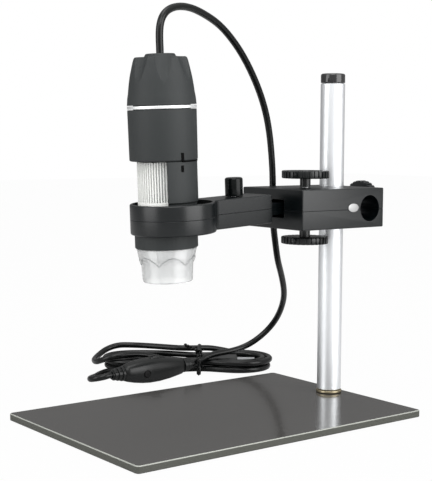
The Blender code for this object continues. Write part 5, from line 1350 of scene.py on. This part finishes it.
def make_controller(settings):
    """In-line controller: two shells, dimmer, button and ribbed reliefs."""
    plastic = surface("controller_plastic", tuple(settings.controller.plastic), 0.30, grain=0.03, gloss=0.4)
    for name, side in (("front", -1), ("back", 1)):
        controller_shell(name, side, plastic)
    dimmer = piece("toothed_dimmer", toothed_disc(
        DIMMER_RADIUS, DIMMER_TOOTH_DEPTH, settings.controller.dimmer_teeth, -DIMMER_HALF_THICKNESS,
        DIMMER_HALF_THICKNESS, DIMMER_EDGE), plastic, DIMMER_FRAME)
    drill(dimmer, DIMMER_PIN_BORE, (0, 0), -DIMMER_HALF_THICKNESS - OVERRUN,
          DIMMER_HALF_THICKNESS + OVERRUN, DIMMER_FRAME, SMALL_SIDES)
    settle(dimmer)
    place_on(dimmer, "dimmer", "dimmer_wheel", slot="black_plastic")
    button_place = (CONTROLLER_FRAME @ Matrix.Translation((BUTTON_PLACE, BUTTON_FRONT, -BUTTON_DROP))
                    @ Matrix.Rotation(-math.pi / 2, 4, 'X'))
    button = piece("round_button", turned([
        (0, 0), *lower_corner(BUTTON_RADIUS, 0, EDGE), (BUTTON_RADIUS, BUTTON_DEPTH),
        (0, BUTTON_DEPTH)], ROD_SIDES),
        surface("button_rubber", (0.003, 0.003, 0.003), 0.45, gloss=0.2), button_place)
    place_on(button, "button", "snapshot_button", slot="grey_rubber")
    for name, way, run in (("left", -1, RELIEF_LEFT_LENGTH), ("right", 1, RELIEF_RIGHT_LENGTH)):
        place = (CONTROLLER_FRAME @ Matrix.Translation((way * RELIEF_PLACE, 0, 0))
                 @ Matrix.Rotation(way * math.pi / 2, 4, 'Y'))
        relief = piece(f"{name}_cord_relief", turned(relief_profile(run), ROD_SIDES), plastic, place)
        place_on(relief, "stand", f"relief_{name}", slot="black_plastic")


# Stage

FLOOR_SIZE = 3
FLOOR_DROP = 0.0002      # below the object, so that the two don't flicker
FLOOR_GLOW = 0.97        # share of the floor's own white in what the camera sees

# Softboxes: place, width and height
SOFTBOXES = {"left": ((-0.780, 0.090, 0.42), 0.50, 0.84), "right": ((0.255, -0.700, 0.42), 0.66, 0.84),
             "high": ((-0.42, -0.52, 0.82), 0.60, 0.50), "top": ((-0.05, 0.00, 0.95), 0.60, 0.45)}
SOFTBOX_AIM = Vector((-0.038, -0.010, 0.10))

# Brightness of the surroundings by how far they lie towards the dark side, and by height
SKY_SHARES = ((0.0, 1.0), (0.35, 1.0), (0.60, 0.70), (0.78, 0.42), (0.90, 0.35), (1.0, 0.35))
SKY_LIFT = 0.6
SKY_LIFT_START = 0.25    # rise of a direction from which the surroundings grow brighter
DARK_SIDE = Vector((0.52, 0.854, 0.0))


def ray_choice(nodes, links, *kinds):
    """The output that is 1 on rays of any of these kinds."""
    path = nodes.new("ShaderNodeLightPath")
    chosen = path.outputs[kinds[0]]
    for kind in kinds[1:]:
        larger = nodes.new("ShaderNodeMath")
        larger.operation = 'MAXIMUM'
        links.new(chosen, larger.inputs[0])
        links.new(path.outputs[kind], larger.inputs[1])
        chosen = larger.outputs[0]
    return chosen


def make_floor():
    """Pale floor that reads white and keeps a faint shadow."""
    shape = bmesh.new()
    bmesh.ops.create_grid(shape, x_segments=1, y_segments=1, size=FLOOR_SIZE)
    made = bpy.data.materials.new("floor_white")
    made.use_nodes = True
    nodes, links = made.node_tree.nodes, made.node_tree.links
    shader = nodes["Principled BSDF"]
    shader.inputs["Base Color"].default_value = (0.50, 0.50, 0.50, 1)
    shader.inputs["Roughness"].default_value = 0.9
    glow = nodes.new("ShaderNodeEmission")
    glow.inputs["Strength"].default_value = 1
    share = nodes.new("ShaderNodeMath")
    share.operation = 'MULTIPLY'
    share.inputs[1].default_value = FLOOR_GLOW
    links.new(ray_choice(nodes, links, "Is Camera Ray", "Is Transmission Ray"), share.inputs[0])
    mix = nodes.new("ShaderNodeMixShader")
    links.new(share.outputs[0], mix.inputs["Fac"])
    links.new(shader.outputs["BSDF"], mix.inputs[1])
    links.new(glow.outputs["Emission"], mix.inputs[2])
    links.new(mix.outputs["Shader"], nodes["Material Output"].inputs["Surface"])
    piece("floor", shape, made, Matrix.Translation(-UP * FLOOR_DROP))


def make_sky(strength):
    """White to the camera; for light and gloss, soft, brighter above and dark on one side."""
    world = bpy.data.worlds.new("studio")
    bpy.context.scene.world = world
    world.use_nodes = True
    nodes, links = world.node_tree.nodes, world.node_tree.links
    place = nodes.new("ShaderNodeTexCoord")
    towards = nodes.new("ShaderNodeVectorMath")
    towards.operation = 'DOT_PRODUCT'
    towards.inputs[1].default_value = DARK_SIDE
    links.new(place.outputs["Generated"], towards.inputs[0])
    spread = nodes.new("ShaderNodeMapRange")
    spread.inputs["From Min"].default_value = -1
    links.new(towards.outputs["Value"], spread.inputs["Value"])
    ramp = nodes.new("ShaderNodeValToRGB")
    stops = ramp.color_ramp.elements
    for _ in SKY_SHARES[2:]:
        stops.new(0.5)
    for stop, (position, level) in zip(stops, SKY_SHARES):
        stop.position = position
        stop.color = (level, level, level, 1)
    links.new(spread.outputs["Result"], ramp.inputs["Fac"])
    height = nodes.new("ShaderNodeSeparateXYZ")
    links.new(place.outputs["Generated"], height.inputs["Vector"])
    lift = nodes.new("ShaderNodeMapRange")
    lift.inputs["From Min"].default_value = SKY_LIFT_START
    lift.inputs["To Max"].default_value = SKY_LIFT
    links.new(height.outputs["Z"], lift.inputs["Value"])
    level = nodes.new("ShaderNodeMath")
    links.new(ramp.outputs["Color"], level.inputs[0])
    links.new(lift.outputs["Result"], level.inputs[1])
    power = nodes.new("ShaderNodeMath")
    power.operation = 'MULTIPLY'
    power.inputs[1].default_value = strength
    links.new(level.outputs[0], power.inputs[0])
    links.new(power.outputs[0], nodes["Background"].inputs["Strength"])
    nodes["Background"].inputs["Color"].default_value = (1, 1, 1, 1)
    plain = nodes.new("ShaderNodeBackground")
    plain.inputs["Color"].default_value = (1, 1, 1, 1)
    mix = nodes.new("ShaderNodeMixShader")
    links.new(ray_choice(nodes, links, "Is Camera Ray", "Is Transmission Ray"), mix.inputs["Fac"])
    links.new(nodes["Background"].outputs["Background"], mix.inputs[1])
    links.new(plain.outputs["Background"], mix.inputs[2])
    links.new(mix.outputs["Shader"], nodes["World Output"].inputs["Surface"])


def make_softbox(name, spot, width, height, radiance):
    """An area lamp turned to the object; a tall one stands upright."""
    data = bpy.data.lights.new(name, 'AREA')
    data.shape = 'RECTANGLE'
    data.size = width
    data.size_y = height
    data.energy = math.pi * width * height * radiance
    lamp = bpy.data.objects.new(name, data)
    bpy.context.scene.collection.objects.link(lamp)
    lamp.location = spot
    away = Vector(spot) - SOFTBOX_AIM
    if height > width:
        away.z = 0
    lamp.rotation_euler = away.to_track_quat('Z', 'Y').to_euler()


def make_stage(settings):
    """White studio: a pale floor, soft surroundings and four softboxes."""
    make_floor()
    make_sky(settings.stage.sky)
    for name, sizes in SOFTBOXES.items():
        make_softbox(f"{name}_softbox", *sizes, getattr(settings.stage, name))
    bpy.context.scene.view_settings.view_transform = 'Standard'


# Operators

class MicroscopeOperator:
    bl_options = {'REGISTER', 'UNDO'}
    make = None

    def execute(self, context):
        type(self).make(context.scene.microscope)
        return {'FINISHED'}


class MICROSCOPE_OT_camera(MicroscopeOperator, bpy.types.Operator):
    """Set the camera of the photograph's view"""
    bl_idname = "microscope.camera"
    bl_label = "Camera"
    make = staticmethod(make_camera)


class MICROSCOPE_OT_cords(MicroscopeOperator, bpy.types.Operator):
    """Build the lead, its hank, the plug and the tie"""
    bl_idname = "microscope.cords"
    bl_label = "Lead and Hank"
    make = staticmethod(make_cords)


class MICROSCOPE_OT_stand(MicroscopeOperator, bpy.types.Operator):
    """Build the plate, collar, post and its cap"""
    bl_idname = "microscope.stand"
    bl_label = "Plate and Post"
    make = staticmethod(make_stand)


class MICROSCOPE_OT_clamp(MicroscopeOperator, bpy.types.Operator):
    """Build the split clamp and its bare badge"""
    bl_idname = "microscope.clamp"
    bl_label = "Clamp"
    make = staticmethod(make_clamp)


class MICROSCOPE_OT_thumbscrews(MicroscopeOperator, bpy.types.Operator):
    """Build the three serrated knobs"""
    bl_idname = "microscope.thumbscrews"
    bl_label = "Thumbscrews"
    make = staticmethod(make_thumbscrews)


class MICROSCOPE_OT_arm(MicroscopeOperator, bpy.types.Operator):
    """Build the arm with its ring and round knob"""
    bl_idname = "microscope.arm"
    bl_label = "Arm"
    make = staticmethod(make_arm)


class MICROSCOPE_OT_head(MicroscopeOperator, bpy.types.Operator):
    """Build the microscope head"""
    bl_idname = "microscope.head"
    bl_label = "Head"
    make = staticmethod(make_head)


class MICROSCOPE_OT_controller(MicroscopeOperator, bpy.types.Operator):
    """Build the in-line controller"""
    bl_idname = "microscope.controller"
    bl_label = "Controller"
    make = staticmethod(make_controller)


class MICROSCOPE_OT_stage(MicroscopeOperator, bpy.types.Operator):
    """Build the white studio and its lights"""
    bl_idname = "microscope.stage"
    bl_label = "Studio"
    make = staticmethod(make_stage)


OPERATORS = (MICROSCOPE_OT_camera, MICROSCOPE_OT_cords, MICROSCOPE_OT_stand, MICROSCOPE_OT_clamp,
             MICROSCOPE_OT_thumbscrews, MICROSCOPE_OT_arm, MICROSCOPE_OT_head, MICROSCOPE_OT_controller,
             MICROSCOPE_OT_stage)


class MICROSCOPE_PT_panel(bpy.types.Panel):
    """Sizes, colours and builders of the microscope"""
    bl_idname = "MICROSCOPE_PT_panel"
    bl_label = "Plate-Stand Microscope"
    bl_space_type = 'VIEW_3D'
    bl_region_type = 'UI'
    bl_category = "Microscope"

    def draw(self, context):
        settings = context.scene.microscope
        for name in ("cord", "stand", "clamp", "head", "controller", "stage"):
            group = getattr(settings, name)
            box = self.layout.box()
            for key in type(group).__annotations__:
                box.prop(group, key)
        for operator in OPERATORS:
            self.layout.operator(operator.bl_idname)


CLASSES = (MICROSCOPE_PG_cord, MICROSCOPE_PG_stand, MICROSCOPE_PG_clamp, MICROSCOPE_PG_head,
           MICROSCOPE_PG_controller, MICROSCOPE_PG_stage, MICROSCOPE_PG_settings, *OPERATORS,
           MICROSCOPE_PT_panel)


def register():
    for item in CLASSES:
        bpy.utils.register_class(item)
    bpy.types.Scene.microscope = PointerProperty(type=MICROSCOPE_PG_settings)


def unregister():
    del bpy.types.Scene.microscope
    for item in reversed(CLASSES):
        bpy.utils.unregister_class(item)


def main():
    register()
    for operator in OPERATORS:
        group, name = operator.bl_idname.split(".")
        getattr(getattr(bpy.ops, group), name)()


if __name__ == "__main__":
    main()
